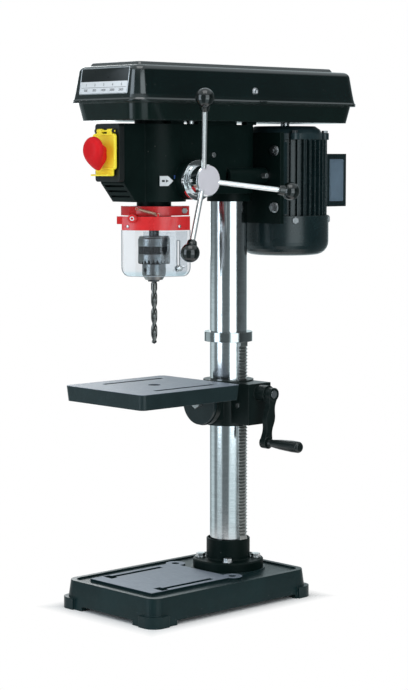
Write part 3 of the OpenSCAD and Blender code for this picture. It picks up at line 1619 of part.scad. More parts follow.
module shield_extension() {
    left = 15;
    right = guard_right - 4.5;
    color(clear) guard_frame() difference() {
        intersection() {
            curved_sheet(extension_r, shield_t, shield_z + 1, extension_l, left, right);
            sheet_outline(left, right, shield_z + 1, shield_top, 10);
        }
        on_band(wing_x, 0) box([extension_r - 10, -slot_half_w, slot_z - 2],
            [extension_r + 10, slot_half_w, slot_z + slot_l]);
    }
}

module shield_screws() {
    wing = 7;
    color(steel) guard_frame() {
        for (x = rivet_xs)
            on_band(x, rivet_z) {
                along_x(shield_r - shield_t, 0, 0, shield_t + band_t + fit, 2);
                along_x(band_r + band_t, 0, 0, 1.4, 4);
            }
        on_band(wing_x, wing_z) {
            along_x(extension_r - shield_t - 4, 0, 0, shield_r + 4 - extension_r + shield_t, 2);
            along_x(shield_r, 0, 0, 5, wing - 2);
            along_x(extension_r - shield_t - 4, 0, 0, 4 - gap, 4.5);
        }
    }
}

// One unbroken tube of wire: a straight run, the curls and another straight run
spring_span = anchor_b - anchor_a;
spring_leg = anchor_r + 0.5;
spring_run = norm(spring_span) - 2*spring_leg;
spring_mean_r = (spring_d - spring_wire_d)/2;
curl_rings = 8;
wire_sides = 6;
spring_rings = spring_curls*curl_rings;
spring_pitch = spring_run/spring_curls;
function curl_point(i) =
    let (a = 360*i/curl_rings)
    [-spring_mean_r*cos(a), spring_mean_r*sin(a), spring_leg + i*spring_pitch/curl_rings];
spring_points = concat([[-spring_mean_r, 0, 0]], [for (i = [0:spring_rings]) curl_point(i)],
    [[-spring_mean_r, 0, spring_run + 2*spring_leg]]);
function unit(v) = v/norm(v);
function ring_points(i) =
    let (here = spring_points[i], last = len(spring_points) - 1,
         ahead = unit(spring_points[min(i + 1, last)] - spring_points[max(i - 1, 0)]),
         out = unit([here[0], here[1], 0]), side = unit(cross(ahead, out)), up = cross(side, ahead))
    [for (k = [0:wire_sides - 1])
        here + spring_wire_d/2*(cos(360*k/wire_sides)*up + sin(360*k/wire_sides)*side)];
function tube_faces(rings, sides) = concat(
    [for (k = [1:sides - 2]) [0, k + 1, k]],
    [for (k = [1:sides - 2], e = [(rings - 1)*sides]) [e, e + k, e + k + 1]],
    [for (i = [0:rings - 2], k = [0:sides - 1])
        let (a = i*sides + k, b = i*sides + (k + 1)%sides)
        each [[a, b, b + sides], [a, b + sides, a + sides]]]);
spring_gap = min([for (i = [1:curl_rings], j = [i + curl_rings - 2:i + curl_rings + 2])
    norm(spring_points[i] - spring_points[j])]) - spring_wire_d;
echo(str("guard spring's least gap to itself: ", spring_gap));

module guard_spring() {
    dir = unit(spring_span);
    rings = len(spring_points);
    color(steel) guard_frame() translate(anchor_a)
        rotate([0, acos(dir[2]), atan2(dir[1], dir[0])])
            polyhedron([for (i = [0:rings - 1]) each ring_points(i)], tube_faces(rings, wire_sides));
}

base_casting();
column_flange();
flange_bolts();
column_tube();
rack_collar();
frame_screws();
head_casting();
belt_pan();
pulley_bearings();
switch_box();
start_button();
stop_button();
switch_flap();
switch_paddle();
guard_collar();
guard_band();
guard_shield();
shield_extension();
shield_screws();
guard_spring();
spring_cap();
return_spring();
front_belt();
rear_belt();
rack_bar();
table_bracket();
bracket_pins();
lift_gear();
worm_shaft();
crank_arm();
crank_grip();
table_lock();
work_table();
quill();
quill_bearings();
spindle();
chuck_body();
drill_bit();
chuck_sleeve();
chuck_jaw_a();
chuck_jaw_b();
chuck_jaw_c();
feed_shaft();
feed_hub();
lever_rods();
lever_knobs();
depth_ring();
spindle_pulley();
idler_arm();
idler_pulley();
motor_rotor();
motor_pulley();
motor_body();
motor_bell();
fan_cowl();
capacitor_box();
motor_plate();
motor_bolts();
slide_rods();
belt_lid();
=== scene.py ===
"""Looks of a benchtop drill press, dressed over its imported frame.

The fields of the sub-assemblies are millimetres in the frame's own axes: +X is the operator's
right hand, -Y the operator's side and Z is up. Meshes are written in metres.
"""
import logging
import math
from dataclasses import dataclass
from enum import Enum
from typing import Callable, Optional, Sequence, Union

import bmesh
import bpy
import numpy as np
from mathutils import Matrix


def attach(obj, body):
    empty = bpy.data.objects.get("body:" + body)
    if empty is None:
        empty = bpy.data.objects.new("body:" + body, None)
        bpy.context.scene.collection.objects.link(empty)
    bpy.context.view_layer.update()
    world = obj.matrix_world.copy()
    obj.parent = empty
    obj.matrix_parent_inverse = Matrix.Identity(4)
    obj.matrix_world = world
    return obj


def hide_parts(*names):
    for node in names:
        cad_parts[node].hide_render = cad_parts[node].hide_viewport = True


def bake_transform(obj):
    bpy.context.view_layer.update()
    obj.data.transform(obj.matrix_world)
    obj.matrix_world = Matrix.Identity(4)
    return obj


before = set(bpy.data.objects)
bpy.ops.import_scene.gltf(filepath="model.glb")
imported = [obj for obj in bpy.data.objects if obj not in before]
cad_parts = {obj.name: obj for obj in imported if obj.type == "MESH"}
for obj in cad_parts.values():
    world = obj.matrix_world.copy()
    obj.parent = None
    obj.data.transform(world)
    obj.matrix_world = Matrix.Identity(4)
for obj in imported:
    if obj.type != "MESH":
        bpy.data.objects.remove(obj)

LOG = logging.getLogger("drill_press")
MM = 0.001
SPINDLE = np.array([0.0, -106.0, 0.0])
COLUMN = np.array([0.0, 55.7, 0.0])
FEED = np.array([0.0, -78.0, 677.0])
MOTOR = np.array([0.0, 185.0, 0.0])
IDLER = np.array([0.0, 34.0, 0.0])
GUARD_TURN = 46.5
CREASE = 34.0
TINY = 1e-12
WHITE = (1.0, 1.0, 1.0, 1.0)

Array = np.ndarray
Colour = tuple[float, float, float]
Triple = tuple[float, float, float]
Span = tuple[float, float]
Corners = tuple[Triple, ...]
Socket = bpy.types.NodeSocket
Outputs = bpy.types.NodeOutputs
Feed = Union[float, tuple, Socket]
Feeds = dict[Union[str, int], Feed]


class Facing(Enum):
    """Ways a flat piece drawn in X and Y, with its thickness along Z, is turned into place."""

    FRONT = ((1, 0, 0), (0, 0, -1), (0, 1, 0))
    RIGHT = ((0, 0, 1), (1, 0, 0), (0, 1, 0))
    UP = ((1, 0, 0), (0, 1, 0), (0, 0, 1))

    def matrix(self) -> Array:
        """The facing as a 3 by 3 rotation."""
        return np.array(self.value, dtype=float)


def turn(axis: int, degrees: float) -> Array:
    """Rotation about one frame axis.

    Args:
        axis: 0, 1 or 2 for X, Y or Z.
        degrees: Angle by the right hand.

    Returns:
        The 3 by 3 rotation.
    """
    c, s = math.cos(math.radians(degrees)), math.sin(math.radians(degrees))
    i, j = (axis + 1) % 3, (axis + 2) % 3
    out = np.eye(3)
    out[i, i] = out[j, j] = c
    out[i, j], out[j, i] = -s, s
    return out


def unit(v: Array) -> Array:
    """Vectors scaled to length one along the last axis."""
    return v / np.linalg.norm(v, axis=-1, keepdims=True)


def span(value: Array, start: float, end: float) -> Array:
    """How far a value has gone from a start to an end, from 0 to 1."""
    return np.clip((value - start) / (end - start), 0.0, 1.0)


def full_turn(count: int) -> Array:
    """Evenly spaced angles of one turn."""
    return np.linspace(0, 2 * np.pi, count, endpoint=False)


def around_z(radius: Array, angle: Array, height: Array) -> Array:
    """Points (r cos a, r sin a, h) of radii, angles and heights that broadcast."""
    return np.stack(np.broadcast_arrays(radius * np.cos(angle), radius * np.sin(angle), height), axis=-1)


def grid_quads(rows: int, cols: int, wrap_rows: bool = False, wrap_cols: bool = False) -> Array:
    """Quads of a grid of points held row after row.

    Args:
        rows: Points along the first parameter.
        cols: Points along the second parameter.
        wrap_rows: Join the last row to the first.
        wrap_cols: Join the last column to the first.

    Returns:
        An (n, 4) array of point numbers.
    """
    r = np.arange(rows if wrap_rows else rows - 1)
    c = np.arange(cols if wrap_cols else cols - 1)
    a, b = np.meshgrid(r, c, indexing="ij")
    a2, b2 = (a + 1) % rows, (b + 1) % cols
    quads = [a * cols + b, a * cols + b2, a2 * cols + b2, a2 * cols + b]
    return np.stack(quads, axis=-1).reshape(-1, 4)


@dataclass
class Surface:
    """Points in millimetres and blocks of equal-sided faces."""

    points: Array
    faces: list[Array]

    def plus(self, *others: "Surface") -> "Surface":
        """This surface and others in one."""
        points, faces = [self.points], list(self.faces)
        count = len(self.points)
        for other in others:
            points.append(other.points)
            faces += [block + count for block in other.faces]
            count += len(other.points)
        return Surface(np.concatenate(points), faces)

    def placed(self, rotation: Array, offset: Sequence[float]) -> "Surface":
        """This surface turned and then moved."""
        return Surface(self.points @ np.asarray(rotation).T + np.asarray(offset), self.faces)

    def build(self, name: str, crease: float = CREASE) -> bpy.types.Object:
        """Make the mesh object, merged, facing outwards and smooth up to a crease.

        Args:
            name: Name of the piece.
            crease: Angle in degrees past which an edge stays sharp.

        Returns:
            The new object, linked to the scene.
        """
        mesh = bpy.data.meshes.new(name)
        faces = [face for block in self.faces for face in block.tolist()]
        mesh.from_pydata((self.points * MM).tolist(), [], faces)
        work = bmesh.new()
        work.from_mesh(mesh)
        bmesh.ops.remove_doubles(work, verts=work.verts, dist=2e-7)
        bmesh.ops.recalc_face_normals(work, faces=work.faces)
        work.to_mesh(mesh)
        work.free()
        mesh.shade_smooth()
        mesh.set_sharp_from_angle(angle=math.radians(crease))
        made = bpy.data.objects.new(name, mesh)
        bpy.context.scene.collection.objects.link(made)
        return made


def joined(parts: Sequence[Surface]) -> Surface:
    """Several surfaces in one."""
    return parts[0].plus(*parts[1:])


def loft(loops: Array, caps: bool = True, ring: bool = False) -> Surface:
    """Closed loops joined in order: point (i, j) is point j of loop i.

    Args:
        loops: A (k, n, 3) array of loops.
        caps: Close the first and the last loop with a face.
        ring: Join the last loop to the first.

    Returns:
        The surface.
    """
    k, n, _ = loops.shape
    faces = [grid_quads(k, n, wrap_rows=ring, wrap_cols=True)]
    if caps and not ring:
        faces += [np.arange(n)[None, ::-1], np.arange((k - 1) * n, k * n)[None]]
    return Surface(loops.reshape(-1, 3), faces)


def turned(profile: Array, around: int, ring: bool = False) -> Surface:
    """A profile turned round Z: the point at angle a is (r cos a, r sin a, h).

    Args:
        profile: An (n, 2) array of radius and height.
        around: Points round the axis.
        ring: Join the profile's last point to its first.

    Returns:
        The surface.
    """
    loops = around_z(profile[:, :1], full_turn(around), profile[:, 1:])
    return loft(loops, caps=not ring, ring=ring)


def rounded(corners: Sequence[Triple], steps: int, closed: bool = False) -> Array:
    """A flat outline with its corners rounded.

    A corner of angle b and radius q starts and ends its arc q / tan(b / 2) from the corner, and the
    arc turns round a centre q / sin(b / 2) along the bisector.

    Args:
        corners: The x, y and radius of each corner.
        steps: Points on each arc.
        closed: Join the last corner to the first, and round both.

    Returns:
        An (n, 2) array of points.
    """
    least = 1e-6
    c = np.array(corners, dtype=float)
    p, q = c[:, :2], np.maximum(c[:, 2], least)
    before, after = np.roll(p, 1, axis=0), np.roll(p, -1, axis=0)
    if not closed:
        before[0], after[-1] = 2 * p[0] - p[1], 2 * p[-1] - p[-2]
        q[0] = q[-1] = least
    d0, d1 = unit(before - p), unit(after - p)
    half = np.arccos(np.clip((d0 * d1).sum(1), -1, 1)) / 2
    half = np.clip(half, 1e-3, np.pi / 2 - 1e-4)
    reach = (q / np.tan(half))[:, None]
    start, end = p + d0 * reach, p + d1 * reach
    centre = p + unit(d0 + d1 + TINY) * (q / np.sin(half))[:, None]
    sweep = (np.pi - 2 * half)[:, None, None]
    t = np.linspace(0, 1, steps)[None, :, None]
    arm0, arm1 = (start - centre)[:, None], (end - centre)[:, None]
    arc = (np.sin((1 - t) * sweep) * arm0 + np.sin(t * sweep) * arm1) / np.sin(sweep)
    return (centre[:, None] + arc).reshape(-1, 2)


def rounded_box(width: float, length: float, radius: float, steps: int) -> Array:
    """A rounded rectangle about the origin, as an (n, 2) outline."""
    w, h = width / 2, length / 2
    return rounded([(w, -h, radius), (w, h, radius), (-w, h, radius), (-w, -h, radius)], steps, closed=True)


def drawn_in(outline: Array, inset: float) -> Array:
    """An outline moved inwards along its own normals by a small amount."""
    along = unit(np.roll(outline, -1, axis=0) - np.roll(outline, 1, axis=0) + TINY)
    return outline + np.stack([-along[:, 1], along[:, 0]], axis=-1) * inset


def level(flat: Array, z: float) -> Array:
    """A flat outline or path at a height."""
    return np.column_stack([flat, np.full(len(flat), z)])


def plate(outline: Array, depth: float, edge: float, steps: int = 4) -> Surface:
    """A flat outline given a thickness along Z, with rounded rims.

    Args:
        outline: An (n, 2) outline, anticlockwise.
        depth: Thickness along +Z.
        edge: Radius of both rims.
        steps: Points on each rim's quarter arc.

    Returns:
        The surface.
    """
    a = np.linspace(0, np.pi / 2, steps)
    low = np.stack([edge * (1 - np.sin(a)), edge * (1 - np.cos(a))], axis=-1)
    high = np.stack([low[::-1, 0], depth - low[::-1, 1]], axis=-1)
    return loft(np.array([level(drawn_in(outline, inset), z) for inset, z in np.concatenate([low, high])]))


def rim(outline: Array, width: float, height: float, edge: float = 0.3) -> Surface:
    """A raised border of a rounded section that runs inside an outline."""
    section = rounded_box(width, height, edge, 3) + np.array([width / 2, height / 2])
    return loft(np.array([level(drawn_in(outline, inset), z) for inset, z in section]), ring=True)


def carried(path: Array, side: Array, section: Array, closed: bool = False) -> Surface:
    """A section carried along a path: path + u side + v (tangent x side).

    Args:
        path: An (n, 3) array of points.
        side: An (n, 3) array of directions that u follows, squared to the path.
        section: An (m, 2) outline in u and v.
        closed: Join the path's last point to its first.

    Returns:
        The surface.
    """
    if closed:
        tangent = np.roll(path, -1, axis=0) - np.roll(path, 1, axis=0)
    else:
        tangent = np.gradient(path, axis=0)
    tangent = unit(tangent)
    side = unit(side - (side * tangent).sum(-1, keepdims=True) * tangent)
    over = np.cross(tangent, side)
    loops = path[:, None] + section[None, :, :1] * side[:, None] + section[None, :, 1:] * over[:, None]
    return loft(loops, ring=closed)


def round_section(radius: float, sides: int) -> Array:
    """A circle as an (n, 2) outline."""
    return around_z(radius, full_turn(sides), 0.0)[:, :2]


def evened(path: Array, count: int) -> Array:
    """A flat path with its points spaced evenly along its length.

    Args:
        path: An (n, 2) array of points.
        count: Points on the new path.

    Returns:
        A (count, 2) array of points.
    """
    walked = np.concatenate([[0.0], np.cumsum(np.linalg.norm(np.diff(path, axis=0), axis=1))])
    at = np.linspace(0.0, walked[-1], count)
    return np.stack([np.interp(at, walked, path[:, k]) for k in (0, 1)], axis=-1)


def numerals(body: str, size: float, depth: float = 0.1) -> Surface:
    """Plain figures drawn about the origin, as a surface of triangles.

    Args:
        body: The figures.
        size: Their size.
        depth: Half of their thickness.

    Returns:
        The surface.
    """
    curve = bpy.data.curves.new("figures", "FONT")
    curve.body, curve.size, curve.extrude = body, size, depth
    curve.align_x, curve.align_y = "CENTER", "CENTER"
    curve.resolution_u = 3
    holder = bpy.data.objects.new("figures", curve)
    bpy.context.scene.collection.objects.link(holder)
    bpy.context.view_layer.update()
    drawn = holder.evaluated_get(bpy.context.evaluated_depsgraph_get())
    mesh = drawn.to_mesh()
    mesh.calc_loop_triangles()
    points = np.empty(len(mesh.vertices) * 3, dtype=np.float32)
    sides = np.empty(len(mesh.loop_triangles) * 3, dtype=np.int32)
    mesh.vertices.foreach_get("co", points)
    mesh.loop_triangles.foreach_get("vertices", sides)
    made = Surface(points.reshape(-1, 3).astype(float), [sides.reshape(-1, 3)])
    drawn.to_mesh_clear()
    bpy.data.objects.remove(holder)
    bpy.data.curves.remove(curve)
    return made


class Weaver:
    """Adds linked nodes to one node tree."""

    def __init__(self, tree: bpy.types.NodeTree) -> None:
        """Keep the tree that the nodes go into."""
        self.tree = tree

    def feed(self, node: bpy.types.Node, feeds: Feeds) -> None:
        """Give a node's inputs, by name or number, a value or a socket each."""
        for key, value in feeds.items():
            if isinstance(value, Socket):
                self.tree.links.new(value, node.inputs[key])
            else:
                node.inputs[key].default_value = value

    def node(self, kind: str, feeds: Optional[Feeds] = None, **settings: object) -> bpy.types.Node:
        """Add a node.

        Args:
            kind: Type name of the node.
            feeds: Value or socket for each input, by name or number.
            **settings: Attributes of the node.

        Returns:
            The node.
        """
        made = self.tree.nodes.new(kind)
        for key, value in settings.items():
            setattr(made, key, value)
        self.feed(made, feeds or {})
        return made

    def math(self, operation: str, a: Feed, b: Feed = 0.0) -> Socket:
        """A Math node's output."""
        return self.node("ShaderNodeMath", {0: a, 1: b}, operation=operation).outputs[0]

    def product(self, a: Feed, b: Feed) -> Socket:
        """Two values multiplied."""
        return self.math("MULTIPLY", a, b)

    def vector(self, operation: str, a: Feed, b: Feed = (0.0, 0.0, 0.0)) -> Socket:
        """A Vector Math node's output, which is a value for a length or a dot product."""
        made = self.node("ShaderNodeVectorMath", {0: a, 1: b}, operation=operation)
        return made.outputs["Value" if operation in ("LENGTH", "DOT_PRODUCT") else "Vector"]

    def spread(self, value: Feed, low: float, high: float, to_low: float = 0.0,
               to_high: float = 1.0) -> Socket:
        """A value mapped from one span to another and held inside it."""
        feeds = {"Value": value, "From Min": low, "From Max": high, "To Min": to_low, "To Max": to_high}
        return self.node("ShaderNodeMapRange", feeds, clamp=True).outputs["Result"]

    def mix(self, factor: Feed, a: Feed, b: Feed) -> Socket:
        """A blend of two colours."""
        return self.node("ShaderNodeMix", {0: factor, 6: a, 7: b}, data_type="RGBA").outputs[2]

    def mix_values(self, factor: Feed, a: Feed, b: Feed) -> Socket:
        """A blend of two values."""
        return self.node("ShaderNodeMix", {0: factor, 2: a, 3: b}, data_type="FLOAT").outputs[0]

    def noise(self, spot: Feed, scale: Feed, detail: float = 2.0, rough: float = 0.5) -> Socket:
        """A noise texture's value."""
        feeds = {"Vector": spot, "Scale": scale, "Detail": detail, "Roughness": rough}
        return self.node("ShaderNodeTexNoise", feeds).outputs["Fac"]

    def spot(self) -> Socket:
        """The point on the piece, in metres of the shared frame."""
        return self.node("ShaderNodeTexCoord").outputs["Object"]

    def parts(self, vector: Feed) -> Outputs:
        """The three numbers of a vector."""
        return self.node("ShaderNodeSeparateXYZ", {0: vector}).outputs

    def bump(self, height: Feed, distance: float, strength: float = 1.0,
             normal: Optional[Socket] = None) -> Socket:
        """A normal raised by a height, over another normal where one is given."""
        feeds: Feeds = {"Height": height, "Distance": distance, "Strength": strength}
        if normal is not None:
            feeds["Normal"] = normal
        return self.node("ShaderNodeBump", feeds).outputs["Normal"]

    def group(self, tree: bpy.types.NodeTree, feeds: Feeds) -> Outputs:
        """A shared effect placed with its own values."""
        return self.node("ShaderNodeGroup", feeds, node_tree=tree).outputs


Weave = Callable[[Weaver, Outputs], Feeds]
VECTOR_LABELS = ("Vector", "Stretch", "Normal", "Centre")
MIDDLE = (0.3, 0.7)
LINE_SPAN = (0.2, 0.8)


def effect(name: str, takes: str, gives: str) -> Callable[[Weave], Callable[[], bpy.types.NodeTree]]:
    """Turn a function that weaves a shared effect into one that gives its node group.

    Args:
        name: Name of the group.
        takes: Names of its inputs.
        gives: Names of its outputs.

    Returns:
        The decorator.
    """

    def wrap(weave: Weave) -> Callable[[], bpy.types.NodeTree]:
        """Take the weaving function."""

        def tree() -> bpy.types.NodeTree:
            """The group, woven the first time it is asked for."""
            known = bpy.data.node_groups.get(name)
            if known:
                return known
            made = bpy.data.node_groups.new(name, "ShaderNodeTree")
            for labels, side in ((takes, "INPUT"), (gives, "OUTPUT")):
                for label in labels.split():
                    kind = "NodeSocketVector" if label in VECTOR_LABELS else "NodeSocketFloat"
                    made.interface.new_socket(name=label, in_out=side, socket_type=kind)
            w = Weaver(made)
            w.node("NodeGroupOutput", weave(w, w.node("NodeGroupInput").outputs))
            return made

        return tree

    return wrap


class Effects:
    """Shader node groups that several finishes share."""

    @staticmethod
    @effect("sprayed_skin", "Vector Peel Cloud", "Height Tone")
    def skin(w: Weaver, takes: Outputs) -> Feeds:
        """Fine orange peel and a slow cloudy tone, as on sprayed and moulded skins."""
        height = w.noise(takes["Vector"], takes["Peel"], 2.5, 0.55)
        cloud = w.noise(takes["Vector"], takes["Cloud"], 5.0, 0.62)
        return {"Height": height, "Tone": w.spread(cloud, *MIDDLE)}

    @staticmethod
    @effect("sand_cast", "Vector Grain", "Height Pits")
    def cast(w: Weaver, takes: Outputs) -> Feeds:
        """Lumpy grain of a sand casting under its paint."""
        lumps = w.noise(takes["Vector"], takes["Grain"], 4.0, 0.6)
        coarse = w.noise(takes["Vector"], w.product(takes["Grain"], 0.17))
        height = w.math("ADD", w.product(lumps, 0.5), w.product(coarse, 1.2))
        return {"Height": height, "Pits": w.spread(lumps, 0.62, 0.74)}

    @staticmethod
    @effect("rubbed_and_sheen_edges", "Vector Radius", "Normal Rub")
    def edges(w: Weaver, takes: Outputs) -> Feeds:
        """Softened edges, and a mask that is partly rubbed wear and partly a painted edge highlight: the more
        the rounded normal leaves the flat one.
        """
        soft = w.node("ShaderNodeBevel", {"Radius": takes["Radius"]}, samples=6).outputs["Normal"]
        lean = w.vector("DOT_PRODUCT", soft, w.node("ShaderNodeNewGeometry").outputs["Normal"])
        broken = w.spread(w.noise(takes["Vector"], 95.0, 5.0, 0.68), 0.4, 0.62)
        # Painted highlight: this mask lightens every edge, partly as rubbed wear and partly as painted light.
        return {"Normal": soft, "Rub": w.product(w.spread(lean, 0.985, 0.86), broken)}

    @staticmethod
    @effect("tool_lines", "Vector Stretch", "Height Tone")
    def lines(w: Weaver, takes: Outputs) -> Feeds:
        """Fine lines left by grinding or drawing, long along the axis with the least stretch."""
        drawn = w.vector("MULTIPLY", takes["Vector"], takes["Stretch"])
        slow = w.noise(drawn, 0.23, 3.0, 0.6)
        return {"Height": w.noise(drawn, 1.0, 3.0, 0.65), "Tone": w.spread(slow, *MIDDLE)}

    @staticmethod
    @effect("lathe_rings", "Vector Centre Stretch Count", "Height Tone")
    def rings(w: Weaver, takes: Outputs) -> Feeds:
        """Lathe rings by the distance from an axis through Centre, along the axis with no stretch."""
        off = w.vector("SUBTRACT", takes["Vector"], takes["Centre"])
        step = w.product(w.vector("LENGTH", w.vector("MULTIPLY", off, takes["Stretch"])), takes["Count"])
        fine, slow = (w.node("ShaderNodeTexNoise", {"W": at, "Scale": 1.0, "Detail": detail},
                             noise_dimensions="1D").outputs["Fac"]
                      for at, detail in ((step, 2.0), (w.product(step, 0.12), 3.0)))
        return {"Height": fine, "Tone": w.spread(slow, *MIDDLE)}

    @staticmethod
    @effect("small_specks", "Vector Scale Share", "Mask")
    def specks(w: Weaver, takes: Outputs) -> Feeds:
        """Sparse small marks, such as dust, chips and oil spots."""
        feeds = {"Vector": takes["Vector"], "Scale": takes["Scale"], "Randomness": 1.0}
        cell = w.node("ShaderNodeTexVoronoi", feeds).outputs
        chosen = w.math("LESS_THAN", w.parts(cell["Color"])[0], takes["Share"])
        return {"Mask": w.product(w.spread(cell["Distance"], 0.16, 0.06), chosen)}


def shade(colour: Colour, factor: float = 1.0) -> tuple[float, float, float, float]:
    """A colour made darker or lighter, with its alpha."""
    return (*(min(1.0, c * factor) for c in colour), 1.0)


@dataclass(frozen=True)
class Finish:
    """A surface finish, made into a material once."""

    name: str
    colour: Colour
    roughness: float

    def material(self) -> bpy.types.Material:
        """The finish's material, woven the first time it is asked for."""
        known = bpy.data.materials.get(self.name)
        if known:
            return known
        made = bpy.data.materials.new(self.name)
        made.use_nodes = True
        made.diffuse_color = (*self.colour, 1.0)
        made.node_tree.nodes.clear()
        w = Weaver(made.node_tree)
        shader = w.node("ShaderNodeBsdfPrincipled")
        w.node("ShaderNodeOutputMaterial", {"Surface": shader.outputs["BSDF"]})
        w.feed(shader, self.weave(w, w.spot()))
        return made

    def weave(self, w: Weaver, spot: Socket) -> Feeds:
        """Add the nodes that give the finish its detail.

        Args:
            w: The weaver of the material's tree.
            spot: The point on the piece.

        Returns:
            What the shader's inputs are fed.
        """
        raise NotImplementedError

    def tones(self, w: Weaver, factor: Socket, low: float, high: float) -> Socket:
        """The colour drifting between two shades of it."""
        return w.mix(factor, shade(self.colour, low), shade(self.colour, high))

    def rough(self, w: Weaver, value: Socket, span_of: Span, shares: Span) -> Socket:
        """The roughness drifting between two shares of it as a value crosses a span."""
        return w.spread(value, *span_of, *(self.roughness * share for share in shares))


@dataclass(frozen=True)
class Enamel(Finish):
    """Sprayed paint, smooth on sheet metal or over the grain of a casting."""

    peel: float = 700.0
    peel_depth: float = 0.00006
    cloud: float = 16.0
    cloud_tones: Span = (0.82, 1.22)
    cloud_rough: Span = (0.86, 1.18)
    grain: float = 0.0
    grain_depth: float = 0.0
    pit_rough: float = 0.12
    edge: float = 0.0012
    # Edges are lightened towards a pale grey: partly rubbed wear, partly a painted edge highlight.
    rub: float = 0.35
    rub_and_sheen_colour: Colour = (0.16, 0.17, 0.17)
    dust_scale: float = 130.0
    dust_share: float = 0.05
    dust_weight: float = 0.1
    dust_colour: Colour = (0.4, 0.4, 0.38)
    coat: float = 0.0
    coat_rough: float = 0.08
    gloss: float = 1.45
    bare_level: float = 0.0
    bare_colour: Colour = (0.2, 0.23, 0.28)
    bare_roughness: float = 0.5
    bare_rough: Span = (0.85, 1.15)
    bare_tones: Span = (0.86, 1.1)
    bare_stretch: Triple = (260.0, 2600.0, 260.0)
    bare_metallic: float = 0.15
    stain_scale: float = 22.0
    stain_weight: float = 0.4
    stain_tone: float = 0.66

    def weave(self, w: Weaver, spot: Socket) -> Feeds:
        """Cloudy paint with orange peel, casting grain, edges lightened as rubbed wear and as a painted
        highlight and, past a level, bare ground metal.
        """
        skin = w.group(Effects.skin(), {"Vector": spot, "Peel": self.peel, "Cloud": self.cloud})
        edge = w.group(Effects.edges(), {"Vector": spot, "Radius": self.edge})
        dust = w.group(Effects.specks(), {"Vector": spot, "Scale": self.dust_scale, "Share": self.dust_share})
        tint = self.tones(w, skin["Tone"], *self.cloud_tones)
        # Painted highlight: edges turn lighter, partly as rubbed wear and partly as painted light.
        tint = w.mix(w.product(edge["Rub"], self.rub), tint, shade(self.rub_and_sheen_colour))
        tint = w.mix(w.product(dust["Mask"], self.dust_weight), tint, shade(self.dust_colour))
        rough = self.rough(w, skin["Tone"], (0.0, 1.0), self.cloud_rough)
        normal = w.bump(skin["Height"], self.peel_depth, 1.0, edge["Normal"])
        feeds: Feeds = {"Coat Weight": self.coat, "Coat Roughness": self.coat_rough, "IOR": self.gloss}
        if self.grain:
            cast = w.group(Effects.cast(), {"Vector": spot, "Grain": self.grain})
            normal = w.bump(cast["Height"], self.grain_depth, 1.0, normal)
            rough = w.math("ADD", rough, w.product(cast["Pits"], self.pit_rough))
        if self.bare_level:
            lines = w.group(Effects.lines(), {"Vector": spot, "Stretch": self.bare_stretch})
            bare = w.math("GREATER_THAN", w.parts(spot)[2], self.bare_level)
            ground = w.mix(lines["Tone"], *(shade(self.bare_colour, tone) for tone in self.bare_tones))
            stain = w.spread(w.noise(spot, self.stain_scale, 6.0, 0.7), 0.56, 0.74, 0.0, self.stain_weight)
            tint = w.mix(bare, tint, w.mix(stain, ground, shade(self.bare_colour, self.stain_tone)))
            shares = (self.bare_roughness * share for share in self.bare_rough)
            rough = w.mix_values(bare, rough, w.spread(lines["Height"], *LINE_SPAN, *shares))
            feeds["Metallic"] = w.product(bare, self.bare_metallic)
            normal = w.bump(w.product(lines["Height"], bare), 0.00004, 0.7, normal)
        return {**feeds, "Base Color": tint, "Roughness": rough, "Normal": normal}


@dataclass(frozen=True)
class CastEnamel(Enamel):
    """Sprayed paint over a sand casting."""

    peel: float = 520.0
    peel_depth: float = 0.00008
    grain: float = 330.0
    grain_depth: float = 0.00035


@dataclass(frozen=True)
class Metal(Finish):
    """Bare metal with the lines of its last working, or with lathe rings about the spindle."""

    stretch: Triple = (300.0, 300.0, 6000.0)
    contrast: float = 0.12
    depth: float = 0.00002
    edge: float = 0.0006
    # Edges are lightened by a share of the colour: partly rubbed wear, partly a painted glint.
    rub: float = 0.3
    rub_and_sheen_tone: float = 1.35
    line_rough: Span = (0.8, 1.2)
    smudge: float = 0.25
    smudge_scale: float = 34.0
    smudge_rough: float = 0.35
    smudge_colour: Colour = (0.1, 0.1, 0.1)
    ring_centre: Triple = (0.0, -0.106, 0.0)
    ring_stretch: Triple = (1.0, 1.0, 0.0)
    ring_count: float = 0.0

    def weave(self, w: Weaver, spot: Socket) -> Feeds:
        """Lined metal, a little darker in its smudges, with softened edges that are lightened as wear and as
        a painted glint.
        """
        if self.ring_count:
            feeds = {"Centre": self.ring_centre, "Stretch": self.ring_stretch, "Count": self.ring_count}
            worked = w.group(Effects.rings(), {"Vector": spot, **feeds})
        else:
            worked = w.group(Effects.lines(), {"Vector": spot, "Stretch": self.stretch})
        edge = w.group(Effects.edges(), {"Vector": spot, "Radius": self.edge})
        tint = self.tones(w, worked["Tone"], 1.0 - self.contrast, 1.0 + self.contrast)
        grime = w.spread(w.noise(spot, self.smudge_scale, 6.0, 0.66), 0.52, 0.76, 0.0, self.smudge)
        tint = w.mix(grime, tint, shade(self.smudge_colour))
        # Painted highlight: edges turn lighter, partly as wear and partly as painted glints.
        tint = w.mix(w.product(edge["Rub"], self.rub), tint, shade(self.colour, self.rub_and_sheen_tone))
        rough = self.rough(w, worked["Height"], LINE_SPAN, self.line_rough)
        rough = w.math("ADD", rough, w.product(grime, self.smudge_rough))
        normal = w.bump(worked["Height"], self.depth, 1.0, edge["Normal"])
        return {"Base Color": tint, "Roughness": rough, "Metallic": 1.0, "Normal": normal}


